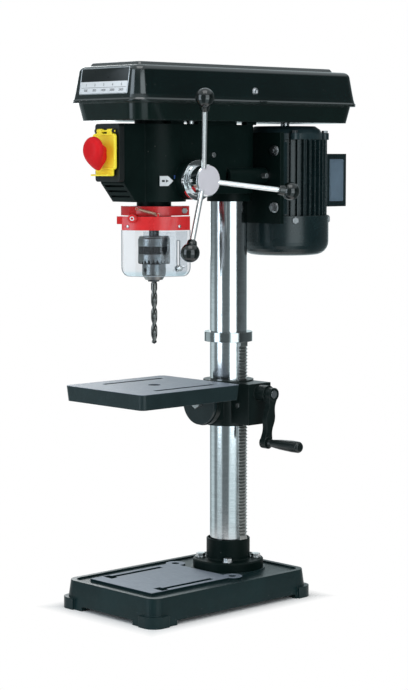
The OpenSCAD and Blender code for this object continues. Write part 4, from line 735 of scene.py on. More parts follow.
@dataclass(frozen=True)
class KnurledSteel(Finish):
    """Chuck steel with a diamond-knurled belt between two levels, painted near black in its grooves as shade,
    and painted shade in the gaps between its teeth.
    """

    low: float = 0.5625
    high: float = 0.5745
    radius: float = 0.025
    count: float = 84.0
    edge: float = 0.0005
    stretch: Triple = (300.0, 300.0, 9000.0)
    line_tones: Span = (0.86, 1.12)
    line_depth: float = 0.00002
    knurl_depth: float = 0.0006
    knurl_roughness: float = 0.42
    # Tones of the knurl's grooves and crests: painted shade in the grooves.
    knurl_shade_tones: tuple[Colour, Colour] = ((0.012, 0.012, 0.013), (0.16, 0.16, 0.165))
    tooth_top: float = 0.555
    # Painted shade: the surfaces between the teeth, inside their outer radius, are painted near black.
    gap_shade_radii: Span = (0.0247, 0.0236)
    gap_shade_colour: Colour = (0.016, 0.016, 0.017)

    def weave(self, w: Weaver, spot: Socket) -> Feeds:
        """Two families of slanted ridges: the angle round the spindle plus and minus the height. Painted
        shade darkens the grooves between the ridges and the gaps between the teeth.
        """
        x, y, z = w.parts(spot)
        y = w.math("ADD", y, -SPINDLE[1] * MM)
        turns = self.count / 2
        around, climb = w.product(w.math("ARCTAN2", y, x), turns), w.product(z, turns / self.radius)
        ridge = w.product(*(w.math("ABSOLUTE", w.math("SINE", w.math(way, around, climb)))
                            for way in ("ADD", "SUBTRACT")))
        belt = w.product(w.math("GREATER_THAN", z, self.low), w.math("LESS_THAN", z, self.high))
        lines = w.group(Effects.lines(), {"Vector": spot, "Stretch": self.stretch})
        plain = self.tones(w, lines["Tone"], *self.line_tones)
        # Painted shade: the knurl is near black in its grooves and a dark steel on its crests.
        knurl = w.mix(ridge, *(shade(tone) for tone in self.knurl_shade_tones))
        # Painted shade in the gaps between the teeth, where the surface lies inside the teeth's radius below
        # their tops.
        far = w.vector("LENGTH", w.node("ShaderNodeCombineXYZ", {0: x, 1: y, 2: 0.0}).outputs[0])
        gap_shade = w.product(w.spread(far, *self.gap_shade_radii), w.math("LESS_THAN", z, self.tooth_top))
        tint = w.mix(belt, w.mix(gap_shade, plain, shade(self.gap_shade_colour)), knurl)
        rough = w.mix_values(belt, self.roughness, self.knurl_roughness)
        edge = w.group(Effects.edges(), {"Vector": spot, "Radius": self.edge})
        normal = w.bump(lines["Height"], self.line_depth, 1.0, edge["Normal"])
        normal = w.bump(w.product(ridge, belt), self.knurl_depth, 1.0, normal)
        return {"Base Color": tint, "Roughness": rough, "Metallic": 1.0, "Normal": normal}


@dataclass(frozen=True)
class Plastic(Finish):
    """Moulded plastic with a fine skin."""

    peel: float = 1500.0
    peel_depth: float = 0.00003
    cloud: float = 40.0
    cloud_rough: Span = (0.88, 1.15)
    edge: float = 0.0008
    # Edges are lightened by a share of the colour: partly rubbed wear, partly a painted highlight.
    rub: float = 0.18
    rub_and_sheen_tone: float = 1.7
    coat: float = 0.0
    coat_rough: float = 0.05
    variation: float = 0.1
    gloss: float = 1.5

    def weave(self, w: Weaver, spot: Socket) -> Feeds:
        """Even colour with slight clouds, edges lightened as rubbed wear and as a painted highlight, and a
        fine skin.
        """
        skin = w.group(Effects.skin(), {"Vector": spot, "Peel": self.peel, "Cloud": self.cloud})
        edge = w.group(Effects.edges(), {"Vector": spot, "Radius": self.edge})
        tint = self.tones(w, skin["Tone"], 1 - self.variation, 1 + self.variation)
        # Painted highlight: edges turn lighter, partly as wear and partly as painted light.
        tint = w.mix(w.product(edge["Rub"], self.rub), tint, shade(self.colour, self.rub_and_sheen_tone))
        rough = self.rough(w, skin["Tone"], (0.0, 1.0), self.cloud_rough)
        normal = w.bump(skin["Height"], self.peel_depth, 1.0, edge["Normal"])
        return {"Base Color": tint, "Roughness": rough, "Normal": normal,
                "Coat Weight": self.coat, "Coat Roughness": self.coat_rough, "IOR": self.gloss}


@dataclass(frozen=True)
class ClearSheet(Finish):
    """Clear bent plastic sheet with faint haze and scuffs."""

    stretch: Triple = (900.0, 900.0, 90.0)
    haze_scale: float = 30.0
    haze_tones: Span = (0.98, 1.02)
    least_rough: float = 0.01
    scuff_rough: float = 0.02
    scuff_depth: float = 0.000004
    gloss: float = 1.3

    def weave(self, w: Weaver, spot: Socket) -> Feeds:
        """Clear body whose roughness and tint drift a little."""
        scuff = w.group(Effects.lines(), {"Vector": spot, "Stretch": self.stretch})
        haze = w.noise(spot, self.haze_scale, 4.0, 0.6)
        rough = w.math("ADD", w.spread(haze, 0.3, 0.8, self.least_rough, self.roughness),
                       w.product(scuff["Tone"], self.scuff_rough))
        tint = self.tones(w, w.spread(haze, *MIDDLE), *self.haze_tones)
        return {"Base Color": tint, "Roughness": rough, "Transmission Weight": 1.0, "IOR": self.gloss,
                "Normal": w.bump(scuff["Height"], self.scuff_depth, 0.5)}


def even(count: float) -> Triple:
    """The same stretch along all three axes."""
    return (count, count, count)


class Finishes:
    """Every finish on the drill press."""

    CAST_BLACK = CastEnamel("cast_black_enamel", (0.0026, 0.0082, 0.0072), 0.42, grain_depth=0.00028,
                            rub=0.15, gloss=1.17)
    BRACKET = CastEnamel("bracket_enamel", (0.0065, 0.0125, 0.0118), 0.32, grain_depth=0.0003,
                         rub=0.25, gloss=1.28)
    BASE = CastEnamel("base_enamel", (0.0065, 0.0205, 0.022), 0.36, rub=0.3, gloss=1.26,
                      bare_level=0.0461, bare_colour=(0.225, 0.26, 0.31), bare_roughness=0.5)
    TABLE = CastEnamel("table_enamel", (0.0085, 0.0205, 0.0225), 0.32,
                       bare_level=0.3561, bare_colour=(0.165, 0.195, 0.245), bare_roughness=0.48)
    SHEET_BLACK = Enamel("sheet_black_enamel", (0.0008, 0.0064, 0.0062), 0.16, peel=620.0, peel_depth=0.00001,
                         rub=0.25, coat=0.2, gloss=1.7)
    PAN_BLACK = Enamel("pan_black_enamel", (0.0016, 0.0082, 0.0068), 0.18, peel=620.0, peel_depth=0.00001,
                       rub=0.15, edge=0.0035, gloss=1.4)
    MOTOR_BLACK = Enamel("motor_enamel", (0.006, 0.0162, 0.0182), 0.26, peel=800.0, peel_depth=0.00005,
                         rub=0.3)
    BELL = Enamel("bell_enamel", (0.016, 0.034, 0.039), 0.34, peel=800.0, peel_depth=0.00005, rub=0.3)
    RED_PAINT = Enamel("guard_red_enamel", (0.6, 0.018, 0.02), 0.26, peel=900.0, peel_depth=0.00004,
                       rub=0.25, rub_and_sheen_colour=(0.75, 0.2, 0.18), coat=0.2)
    COLUMN = Metal("polished_column", (0.6, 0.62, 0.635), 0.12, stretch=(240.0, 240.0, 7000.0), smudge=0.3,
                   smudge_colour=(0.24, 0.24, 0.235))
    COLLAR = Metal("polished_collar", (0.36, 0.38, 0.385), 0.09, stretch=(700.0, 700.0, 7000.0), smudge=0.15,
                   edge=0.0012)
    CHROME = Metal("turned_chrome", (0.82, 0.84, 0.85), 0.07, stretch=even(400.0), contrast=0.03,
                   depth=0.000001, smudge=0.0, edge=0.0009)
    RODS = Metal("polished_rod", (0.94, 0.95, 0.95), 0.32, stretch=even(900.0), smudge=0.1, depth=0.000006)
    ZINC = Metal("zinc_plate", (0.62, 0.63, 0.635), 0.3, stretch=even(1400.0), smudge=0.3)
    BOLT = Metal("dulled_zinc", (0.2, 0.205, 0.21), 0.36, stretch=even(1400.0), smudge=0.4)
    STEEL = Metal("ground_steel", (0.5, 0.51, 0.53), 0.24, stretch=(600.0, 600.0, 5000.0), smudge=0.2)
    CHUCK = Metal("chuck_ground_steel", (0.36, 0.355, 0.342), 0.28, ring_count=2400.0, smudge=0.3)
    SLEEVE = KnurledSteel("chuck_sleeve_steel", (0.35, 0.345, 0.335), 0.3)
    OILED = Metal("oiled_steel", (0.09, 0.092, 0.095), 0.34, stretch=(700.0, 700.0, 3000.0), smudge=0.4,
                  smudge_colour=(0.03, 0.028, 0.025))
    # Its edges are lightened by the shared edge mask, as wear and as painted glints.
    RACK = Metal("cut_rack_steel", (0.46, 0.47, 0.455), 0.3, stretch=(500.0, 500.0, 900.0), contrast=0.2,
                 smudge=0.35, smudge_colour=(0.03, 0.03, 0.028), edge=0.0009)
    BIT = Metal("dark_bit_steel", (0.118, 0.116, 0.11), 0.2, stretch=(900.0, 900.0, 5000.0), smudge=0.3)
    ALLOY = Metal("cast_alloy", (0.5, 0.51, 0.52), 0.34, ring_count=1200.0, smudge=0.15)
    SPRING = Metal("spring_wire", (0.78, 0.66, 0.5), 0.3, stretch=even(2000.0), smudge=0.15)
    PLATE = Metal("plate_silver", (0.66, 0.67, 0.69), 0.3, stretch=(3000.0, 300.0, 3000.0), smudge=0.1)
    HUB_FACE = Plastic("hub_face_satin", (0.62, 0.6, 0.645), 0.42, peel=900.0, variation=0.03)
    RUBBER = Plastic("belt_rubber", (0.012, 0.012, 0.013), 0.62, peel=2600.0, peel_depth=0.0001,
                     variation=0.25)
    KNOB = Plastic("knob_phenolic", (0.004, 0.0072, 0.0066), 0.1, peel=400.0, peel_depth=0.000012, coat=0.3)
    GRIP = Plastic("grip_plastic", (0.006, 0.0105, 0.01), 0.3, peel=1300.0, peel_depth=0.00005)
    BLACK_BOX = Plastic("switch_black", (0.005, 0.0075, 0.007), 0.38, peel=1700.0, peel_depth=0.00006)
    RED = Plastic("paddle_red", (0.62, 0.012, 0.016), 0.42, gloss=1.2)
    GREEN = Plastic("button_green", (0.03, 0.26, 0.07), 0.3)
    YELLOW = Plastic("flap_yellow", (1.0, 0.8, 0.035), 0.42, variation=0.02)
    CLEAR = ClearSheet("clear_sheet", (0.73, 0.765, 0.795), 0.05)
    CUT_EDGE = Plastic("clear_cut_edge", (0.36, 0.4, 0.43), 0.25, variation=0.15)
    PLATE_DARK = Plastic("plate_black_print", (0.006, 0.009, 0.009), 0.3)
    PLATE_PALE = Plastic("plate_white_print", (0.7, 0.715, 0.73), 0.34, variation=0.03)
    PLATE_BLUE = Plastic("plate_blue_print", (0.02, 0.06, 0.22), 0.34, variation=0.05)
    PANEL_GREY = Plastic("panel_grey_blue", (0.12, 0.175, 0.23), 0.36, variation=0.08)


NODE_FINISHES: tuple[tuple[Finish, str], ...] = (
    (Finishes.BASE, "base_casting"),
    (Finishes.CAST_BLACK, "column_flange head_casting idler_arm motor_plate"),
    (Finishes.BRACKET, "table_bracket crank_arm"),
    (Finishes.TABLE, "work_table"),
    (Finishes.PAN_BLACK, "belt_pan"),
    (Finishes.MOTOR_BLACK, "spring_cap motor_body fan_cowl capacitor_box"),
    (Finishes.BELL, "motor_bell"),
    (Finishes.RED_PAINT, "guard_collar guard_band"),
    (Finishes.COLUMN, "column_tube"),
    (Finishes.COLLAR, "rack_collar"),
    (Finishes.CHROME, "feed_hub depth_ring"),
    (Finishes.RODS, "lever_rods"),
    (Finishes.ZINC, "flange_bolts frame_screws bracket_pins table_lock"),
    (Finishes.BOLT, "motor_bolts"),
    (Finishes.STEEL, "pulley_bearings worm_shaft quill quill_bearings feed_shaft motor_rotor slide_rods"),
    (Finishes.CHUCK, "chuck_body"),
    (Finishes.OILED, "lift_gear spindle chuck_jaw_a chuck_jaw_b chuck_jaw_c"),
    (Finishes.RACK, "rack_bar"),
    (Finishes.ALLOY, "spindle_pulley idler_pulley motor_pulley"),
    (Finishes.BLACK_BOX, "switch_box"),
    (Finishes.RED, "stop_button"),
    (Finishes.GREEN, "start_button"),
    (Finishes.CLEAR, "guard_shield shield_extension"),
)


class Assembly:
    """A sub-assembly: it adds pieces, dresses them and puts them on their body."""

    def add(self, surface: Surface, name: str, body: str, slot: str, finish: Finish,
            replaces: Sequence[str] = (), crease: float = CREASE) -> bpy.types.Object:
        """Args:
            surface: Its shape.
            name: Its name.
            body: The body that it rides on, or an empty string to put it on no body.
            slot: Name of a material slot; not used.
            finish: Its finish.
            replaces: Nodes that it stands for.
            crease: Angle in degrees past which an edge stays sharp.

        Returns:
            The piece.
        """
        piece = surface.build(name, crease)
        piece.data.materials.append(finish.material())
        if body:
            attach(piece, body)
        if replaces:
            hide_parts(*replaces)
        LOG.info("%s: %d faces", name, len(piece.data.polygons))
        return piece

    def build(self) -> None:
        """Add every piece of the sub-assembly."""
        raise NotImplementedError


@dataclass
class BeltCover(Assembly):
    """Lid of the belt cover, with its plate, side screw and latch, and the pads that its pan sits on."""

    centre_y: float = 34.55
    width: float = 155.0
    length: float = 482.5
    corner: float = 20.0
    least_corner: float = 6.0
    foot: float = 797.8
    shoulder: float = 851.0
    top: float = 856.5
    lean: float = 5.0
    flare: float = 5.8
    fillet: Span = (-2.4, 9.0)
    panel: float = 20.0
    panel_rear: float = 38.0
    panel_start: float = 13.0
    wall: float = 2.0
    hinge_x: float = -88.0
    hinge_z: float = 800.0
    hinge_r: float = 4.0
    hinge_ys: Span = (-115.45, 184.55)
    knuckle: float = 24.0
    leaf: float = 11.2
    plate_size: Span = (112.0, 41.0)
    plate_border: float = 1.3
    plate_split: float = -0.82
    plate_z: float = 827.3
    speeds: tuple[str, ...] = ("500", "850", "1400", "2000", "2600")
    figure: float = 5.4
    figure_pitch: float = 20.5
    figure_rows: Span = (-4.2, 4.0)
    figure_out: float = 0.75
    screw_y: float = 38.1
    screw_z: float = 815.0
    screw: Corners = ((0, 0.6, 0), (1.9, 0.6, 0.2), (2.6, 2.2, 0.4), (4.2, 2.2, 0.8), (4.5, 0.6, 0.2),
                      (6.2, 0.6, 0.2), (6.2, -0.6, 0))
    latch: Span = (81.6, 51.5)
    pad_x: float = 39.6
    pad_z: float = 763.5
    pad_spans: tuple[tuple[float, float], ...] = ((-111.0, -84.0), (-54.0, 29.5), (51.7, 73.0))

    def shell_loops(self, inset: float) -> Array:
        """Loops of one skin of the lid from its flared foot to its raised panel.

        A rounded rectangle is drawn in by the profile's first number at the height of its second, and
        past the shoulder its rear end moves in further, to where the panel starts.

        Args:
            inset: How far the skin lies inside the outer one.

        Returns:
            A (k, n, 3) array of loops.
        """
        shoulder, top, foot = self.shoulder - inset, self.top - inset, self.foot
        profile = rounded([
            (-self.flare, foot, 0), (-self.flare, foot + 0.8, 0.3), (-4.0, foot + 3.2, 3.0),
            (self.fillet[0], foot + self.fillet[1], 10.0), (-0.4, foot + 20.0, 30.0),
            (self.lean, shoulder - 0.2, 10.0), (self.panel - 1.4, shoulder, 1.4),
            (self.panel + 1.6, top - 0.3, 2.0), (self.panel + 14, top, 0)], 8)
        loops = []
        for draw, z in profile:
            d = draw + inset
            back = (self.panel_rear - self.panel) * span(draw, self.panel_start, self.panel - 2.5)
            corner = max(self.corner - d * 0.75, self.least_corner)
            flat = rounded_box(self.width - 2 * d, self.length - 2 * d - back, corner, 12)
            loops.append(level(flat + np.array([0.0, self.centre_y - back / 2]), z))
        return np.array(loops)

    def lid(self) -> Surface:
        """Outer skin, rim and inner skin of the lid in one, with its two hinge knuckles."""
        inner, outer = self.shell_loops(self.wall), self.shell_loops(0.0)
        made = loft(np.concatenate([inner[::-1], outer]))
        long, r = self.knuckle, self.hinge_r
        barrel = turned(rounded([(0, 0, 0), (r, 0, 0.5), (r, long, 0.5), (0, long, 0)], 4), 28)
        leaf = plate(rounded_box(self.leaf, long, 1.0, 3), 2.2, 0.5)
        x, z = self.hinge_x, self.hinge_z
        for y in self.hinge_ys:
            made = made.plus(barrel.placed(turn(0, -90), (x, y - long / 2, z)),
                             leaf.placed(Facing.UP.matrix(), (x + self.leaf / 2, y, z + 0.4)))
        return made

    def wall_out(self, z: float) -> float:
        """How far the wall at a height is drawn in from the foot's outline."""
        draw, rise = self.fillet
        return draw + (self.lean - draw) * (z - self.foot - rise) / (self.shoulder - self.foot - rise)

    def on_plate(self, piece: Surface, x: float = 0.0, y: float = 0.0, out: float = 0.0) -> Surface:
        """Lay a piece on the leaning wall where the nameplate is.

        Args:
            piece: The piece, drawn flat about the origin.
            x: Its distance to the right of the plate's middle.
            y: Its distance above the plate's middle.
            out: Its distance in front of the wall.

        Returns:
            The piece in its place.
        """
        draw = self.wall_out(self.plate_z)
        slope = math.degrees(math.atan(self.wall_out(self.plate_z + 1) - draw))
        lean = Facing.FRONT.matrix() @ turn(0, -slope)
        middle = np.array([0.0, self.centre_y - self.length / 2 + draw, self.plate_z])
        return piece.placed(lean, middle + lean @ np.array([x, y, out]))

    def nameplate(self) -> None:
        """Add a bordered plate, dark above and pale below, with a table of plain figures."""
        wide, tall = self.plate_size
        border = rim(rounded_box(wide, tall, 2.0, 4), 1.5, 1.1)
        self.add(self.on_plate(border), "nameplate_rim", "lid", "bright_steel", Finishes.PLATE)
        half = tall / 2 - self.plate_border
        high, low = (half + self.plate_split) / 2, (self.plate_split - half) / 2
        for name, slot, finish, size, y in (
                ("nameplate_dark", "black_plastic", Finishes.PLATE_DARK, half - self.plate_split, high),
                ("nameplate_pale", "clear_plastic", Finishes.PLATE_PALE, half + self.plate_split, low)):
            field = plate(rounded_box(wide - 2 * self.plate_border, size, 0.8, 3), 0.7, 0.15, 3)
            self.add(self.on_plate(field, y=y), name, "lid", slot, finish)
        figures = []
        for k, speed in enumerate(self.speeds):
            for text, row in zip((speed, str(k + 1)), self.figure_rows):
                x = (k - len(self.speeds) // 2) * self.figure_pitch
                figures.append(self.on_plate(numerals(text, self.figure), x, low + row, self.figure_out))
        rule = plate(rounded_box(wide - 9, 0.5, 0.2, 2), 0.12, 0.03, 2)
        figures.append(self.on_plate(rule, y=low, out=0.68))
        self.add(joined(figures), "nameplate_figures", "lid", "black_plastic", Finishes.PLATE_DARK)

    def build(self) -> None:
        """Add the lid and its trim."""
        self.add(self.lid(), "belt_lid_shell", "lid", "cover_paint", Finishes.SHEET_BLACK, ["belt_lid"])
        self.nameplate()
        seat = (self.width / 2 - self.wall_out(self.screw_z), self.screw_y, self.screw_z)
        screw = turned(rounded(self.screw, 4)[::-1], 36).placed(Facing.RIGHT.matrix(), seat)
        self.add(screw, "lid_side_screw", "lid", "bright_steel", Finishes.PLATE)
        up = Facing.UP.matrix()
        tab = plate(rounded_box(9.0, 14.0, 2.0, 5), 2.4, 0.7).placed(up, (*self.latch, self.foot + 0.5))
        self.add(tab, "lid_latch_tab", "lid", "cover_paint", Finishes.SHEET_BLACK)
        pads = [plate(rounded_box(14.0, rear - front, 1.5, 4), 4.4, 0.3)
                .placed(up, (self.pad_x, (front + rear) / 2, self.pad_z)) for front, rear in self.pad_spans]
        self.add(joined(pads), "pan_seat_pads", "frame", "black_paint", Finishes.CAST_BLACK)


@dataclass
class SwitchFront(Assembly):
    """Yellow flap and red paddle of the switch."""

    back_y: float = -204.2
    thick: float = 3.0
    low_z: float = 694.0
    high_z: float = 748.0
    half: float = 26.0
    lip: float = 20.0
    lip_drop: float = 10.0
    ear: Span = (6.0, 17.4)
    pivot_y: float = -204.5
    pivot_z: float = 752.0
    paddle_r: float = 21.0
    reach: float = 31.0
    tail: float = 30.5

    def flap(self) -> Surface:
        """Plate with two hinge ears and a finger lip at its foot, under a raised border."""
        mid = (self.low_z + self.high_z) / 2
        low, high = self.low_z - mid, self.high_z - mid
        foot, crown = low - self.lip_drop, high + 7
        near, far = self.ear
        right = [(self.lip, foot, 2), (self.lip, low, 0.8), (self.half, low, 4), (self.half, high, 4),
                 (far, high, 0.6), (far, crown, 4), (near, crown, 4), (near, high, 0.8)]
        left = [(-x, y, r) for x, y, r in right[::-1]]
        place = Facing.FRONT.matrix()
        face_y = self.back_y - self.thick
        lip = plate(rounded_box(2 * self.lip, 13, 2.0, 4), 2.6, 0.7)
        rib = plate(rounded_box(2 * self.lip, 1.8, 0.8, 4), 1.4, 0.5)
        parts = [
            plate(rounded(right + left, 5, True), self.thick, 0.6).placed(place, (0, self.back_y, mid)),
            rim(rounded_box(51.4, 53.4, 5, 6), 3.0, 2.2, 0.8).placed(place, (0, face_y + 0.6, mid)),
            lip.placed(Facing.UP.matrix(), (0, self.back_y - 7.5, self.low_z - self.lip_drop)),
            rib.placed(place, (0, face_y + 0.2, self.low_z - 2.2))]
        wide = far - near
        barrel = turned(rounded([(0, 0, 0), (3.3, 0, 0.6), (3.3, wide, 0.6), (0, wide, 0)], 4), 24)
        pin = turned(rounded([(0, 0, 0), (1.6, 0, 0.2), (1.6, 43, 0.2), (0, 43, 0)], 3), 16)
        for piece, x in ((barrel, -far), (barrel, near), (pin, -21.5)):
            parts.append(piece.placed(turn(1, 90), (x, self.pivot_y, self.pivot_z)))
        return joined(parts)

    def paddle(self) -> Surface:
        """Domed palm button with a drop-shaped tail, which narrows behind into its stem.

        The profile gives the round body's radius by depth. The tail adds to it by the fifth power of
        the downward cosine, over a length that rises smoothly behind the dome and falls towards the flap.
        """
        front = self.back_y - self.thick - self.reach
        centre = np.array([0.0, 0.0, (self.low_z + self.high_z) / 2 + 2])
        profile = rounded([(0, 0, 0), (14.0, 0.4, 12), (self.paddle_r, 7.0, 7), (20.0, 13.0, 4),
                           (13.0, 18.5, 6.0), (6.0, self.reach, 0)], 10)
        a = full_turn(120)
        r, y = profile[:, :1], profile[:, 1:]
        rise, fall = span(y, 2.0, 18.0), span(y, 22.0, self.reach)
        reach = (self.tail - r) * rise * rise * (3 - 2 * rise) * (1 - 0.5 * fall)
        radius = r + reach * np.clip(-np.sin(a)[None], 0, 1) ** 5.0
        return loft(around_z(radius, a, front + y)[..., [0, 2, 1]] + centre)

    def build(self) -> None:
        """Add the flap and the paddle."""
        self.add(self.flap(), "switch_flap_shell", "flap", "yellow_plastic", Finishes.YELLOW, ["switch_flap"])
        self.add(self.paddle(), "switch_paddle_palm", "flap", "red_plastic", Finishes.RED,
                 ["switch_paddle"], 50.0)


@dataclass
class ChuckAndDrill(Assembly):
    """Toothed and knurled chuck sleeve, and the twist drill."""

    sleeve_low: float = 547.0
    sleeve_high: float = 588.0
    sleeve_r: float = 25.0
    bore: float = 17.05
    belt: Span = (15.0, 28.0)
    teeth: int = 24
    tooth_h: float = 6.8
    tooth_depth: float = 3.8
    tip: float = 421.0
    tip_h: float = 2.9
    flutes: float = 86.0
    flute_half: float = 62.0
    flute_depth: float = 0.62
    shank_top: float = 560.0
    bit_r: float = 4.9
    shank_r: float = 4.0
    shank_low: float = 516.0
    pitch: float = 51.0

    def sleeve(self) -> Surface:
        """Turned sleeve whose lower edge is cut into teeth.

        Round the axis a triangle wave runs from tooth to gap. The radius dips where the wave is above
        a level that rises with the height, so each gap narrows upwards to a point.
        """
        low, high, r = self.sleeve_low, self.sleeve_high, self.sleeve_r
        start, end = (low + h for h in self.belt)
        rows = [(r, low + h, 0.1) for h in range(2, 8)]
        outline = rounded([
            (self.bore, low + 4, 0.3), (19.5, low + 0.3, 0.4), (23.9, low, 0.4), *rows, (r, start, 0.2),
            (r - 0.35, start + 0.4, 0.2), (r - 0.35, end - 0.4, 0.2), (r, end, 0.2), (r, high - 1.6, 0.8),
            (r - 1.6, high, 0.5), (self.bore, high, 0.3)], 4, True)
        radius, z = outline[:, :1], outline[:, 1:]
        a = full_turn(self.teeth * 12)
        wave = np.abs((a * self.teeth / (2 * np.pi)) % 1.0 - 0.5) * 2
        dip = np.clip((wave - 0.05 - 0.95 * span(z, low, low + self.tooth_h)) * 5.0, 0, 1)
        cut = (radius > 22) * (z < low + self.tooth_h + 0.4)
        return loft(around_z(radius - self.tooth_depth * dip * cut, a, z) + SPINDLE, ring=True)

    def drill(self) -> Surface:
        """Twist drill: the radius dips in two round flutes that turn with the height.

        The flute's dip is a raised cosine to both sides of its middle, fades into the shank, and the
        tip is a cone.
        """
        tip, top = self.tip, self.tip + self.flutes
        z = np.concatenate([np.linspace(tip, tip + 3, 8), np.linspace(tip + 3.4, top, 190),
                            np.linspace(top + 0.5, self.shank_top, 28)])[:, None]
        a = full_turn(48)[None]
        off = np.abs((a - 2 * np.pi * (z - tip) / self.pitch + np.pi / 2) % np.pi - np.pi / 2)
        wave = np.cos(span(off, 0.0, math.radians(self.flute_half)) * np.pi)
        dip = np.clip(wave * 0.5 + 0.5, 0, 1) ** 0.8 * span(z, top, top - 9.0)
        body = self.bit_r + (self.shank_r - self.bit_r) * span(z, self.shank_low, self.shank_low + 2.0)
        radius = body * (1 - self.flute_depth * dip) * np.clip((z - tip) / self.tip_h, 0.02, 1)
        return loft(around_z(radius, a, z) + SPINDLE)

    def build(self) -> None:
        """Add the sleeve and the drill."""
        self.add(self.sleeve(), "chuck_sleeve_toothed", "sleeve", "chuck_steel", Finishes.SLEEVE,
                 ["chuck_sleeve"], 28.0)
        self.add(self.drill(), "twist_drill", "spindle", "bit_steel", Finishes.BIT, ["drill_bit"], 40.0)


@dataclass
class ChuckGuard(Assembly):
    """Coil spring of the clear guard, with the cut edges, rivets and wing nut of its sheets."""

    sheet_back: float = 25.0
    band_r: float = 80.0
    sheet_t: float = 2.0
    fit: float = 0.05
    gap: float = 0.3
    left: float = -48.5
    right: float = 56.5
    corner: float = 14.0
    sheet_low: float = 530.0
    band_low: float = 600.7
    slot_w: float = 5.0
    slot_l: float = 47.6
    wing_x: float = 40.0
    wing_z: float = 542.0
    wing: Corners = ((2.0, 0.6, 0.4), (4.6, 0.4, 1.0), (9.2, 3.0, 2.0), (9.8, 8.2, 2.2), (6.2, 8.4, 2.0),
                     (3.0, 4.2, 1.0))
    wing_t: float = 1.7
    wing_turn: float = 25.0
    shank_r: float = 2.0
    rivet_xs: Span = (-38.0, 39.5)
    rivet_z: float = 606.7
    anchor_a: Triple = (-25.0, -46.0, 633.5)
    anchor_b: Triple = (8.0, -46.0, 624.5)
    swing_bolt: Triple = (-32.0, -57.5, 619.0)
    bolt_ring: Corners = ((1.9, 0.6, 0.1), (3.4, 0.6, 0.2), (3.4, 1.6, 0.4), (1.9, 1.6, 0.3))
    bolt_cap: Corners = ((0, 0.9, 0), (6.6, 0.9, 0.7), (6.9, -3.6, 0.2), (6.4, -3.6, 0))
    curls: int = 14
    coil_r: float = 2.1
    wire_r: float = 0.45
    pin_r: float = 1.5
    leg: float = 3.4

    def spin(self) -> Array:
        """The turn of the guard's own axes about the spindle."""
        return turn(2, GUARD_TURN)

    def in_frame(self, local: Sequence[float]) -> Array:
        """A point of the guard's own axes in the shared frame."""
        return self.spin() @ np.array(local, dtype=float) + SPINDLE

    def spring(self) -> Surface:
        """Close coil between two hooks.

        The wire's middle is a helix about the line between the anchors, and each end runs out to
        a ring about its pin.
        """
        a, b = self.in_frame(self.anchor_a), self.in_frame(self.anchor_b)
        axis = unit(b - a)
        out = self.spin() @ np.array([0.0, -1.0, 0.0])
        over = np.cross(axis, out)
        length = np.linalg.norm(b - a)
        t = np.linspace(0, 1, self.curls * 20 + 1)[:, None]
        angle = 2 * np.pi * self.curls * t
        side = np.cos(angle) * over + np.sin(angle) * out
        coil = a + axis * (self.leg + (length - 2 * self.leg) * t) + self.coil_r * side
        ring_r = self.pin_r + self.wire_r + 0.1
        angle = np.pi / 2 + np.linspace(0, 1, 28)[:, None] * 2 * np.pi * 0.86
        start = a + ring_r * (np.cos(angle) * axis + np.sin(angle) * over)
        end = b - ring_r * (np.cos(angle) * axis - np.sin(angle) * over)
        section = round_section(self.wire_r, 8)
        parts = [carried(coil, side, section)]
        for ring, near in ((start, coil[0]), (end, coil[-1])):
            join = near + (ring[0] - near) * np.linspace(0, 1, 6)[:, None]
            for path in (ring, join):
                parts.append(carried(path, np.repeat(out[None], len(path), axis=0), section))
        return joined(parts)

    def bent_strip(self, path: Array, radius: float, closed: bool) -> Surface:
        """A narrow strip along the cut edge of a bent sheet.

        Args:
            path: Points as a length round the sheet's bend, from its middle, and a height.
            radius: Radius of the middle of the sheet.
            closed: Join the path's ends.

        Returns:
            The strip, whose section lies across the sheet.
        """
        angle = path[:, 0] / radius
        side = np.stack([np.sin(angle), -np.cos(angle), 0 * angle], axis=-1)
        local = side * radius + np.array([0.0, self.sheet_back, 0.0])
        local[:, 2] = path[:, 1]
        back = self.spin().T
        section = rounded_box(self.sheet_t + 0.1, 0.9, 0.3, 3)
        return carried(local @ back + SPINDLE, side @ back, section, closed)

    def edges(self) -> None:
        """Add the cut edges of the shield and of the slot in its extension."""
        radius = self.band_r - self.fit - self.sheet_t / 2
        left, right = (radius * math.asin(x / radius) for x in (self.left, self.right))
        low, high = self.sheet_low, self.band_low
        outline = rounded([(left, high, 0), (left, low, self.corner), (right, low, self.corner),
                           (right, high, 0)], 10)
        strip = self.bent_strip(evened(outline, 200), radius, False)
        self.add(strip, "shield_cut_edge", "guard", "clear_plastic", Finishes.CUT_EDGE)
        radius -= self.sheet_t + self.gap
        middle = radius * math.asin(self.wing_x / self.band_r)
        slot = rounded_box(self.slot_w, self.slot_l, 2.2, 5) + np.array([middle, self.wing_z + 19.4])
        strip = self.bent_strip(slot, radius, True)
        self.add(strip, "slot_cut_edge", "extension", "clear_plastic", Finishes.CUT_EDGE)

    def on_bend(self, x: float, z: float) -> tuple[Array, Array]:
        """Turn and place that put a piece drawn along Z on the bend, pointing outwards.

        Args:
            x: Its place across the guard.
            z: Its height.

        Returns:
            The rotation and the offset.
        """
        angle = math.asin(x / self.band_r)
        c, s = math.cos(angle), math.sin(angle)
        local = np.array([[c, 0.0, s], [s, 0.0, -c], [0.0, 1.0, 0.0]])
        return self.spin() @ local, self.in_frame((0.0, self.sheet_back, z))

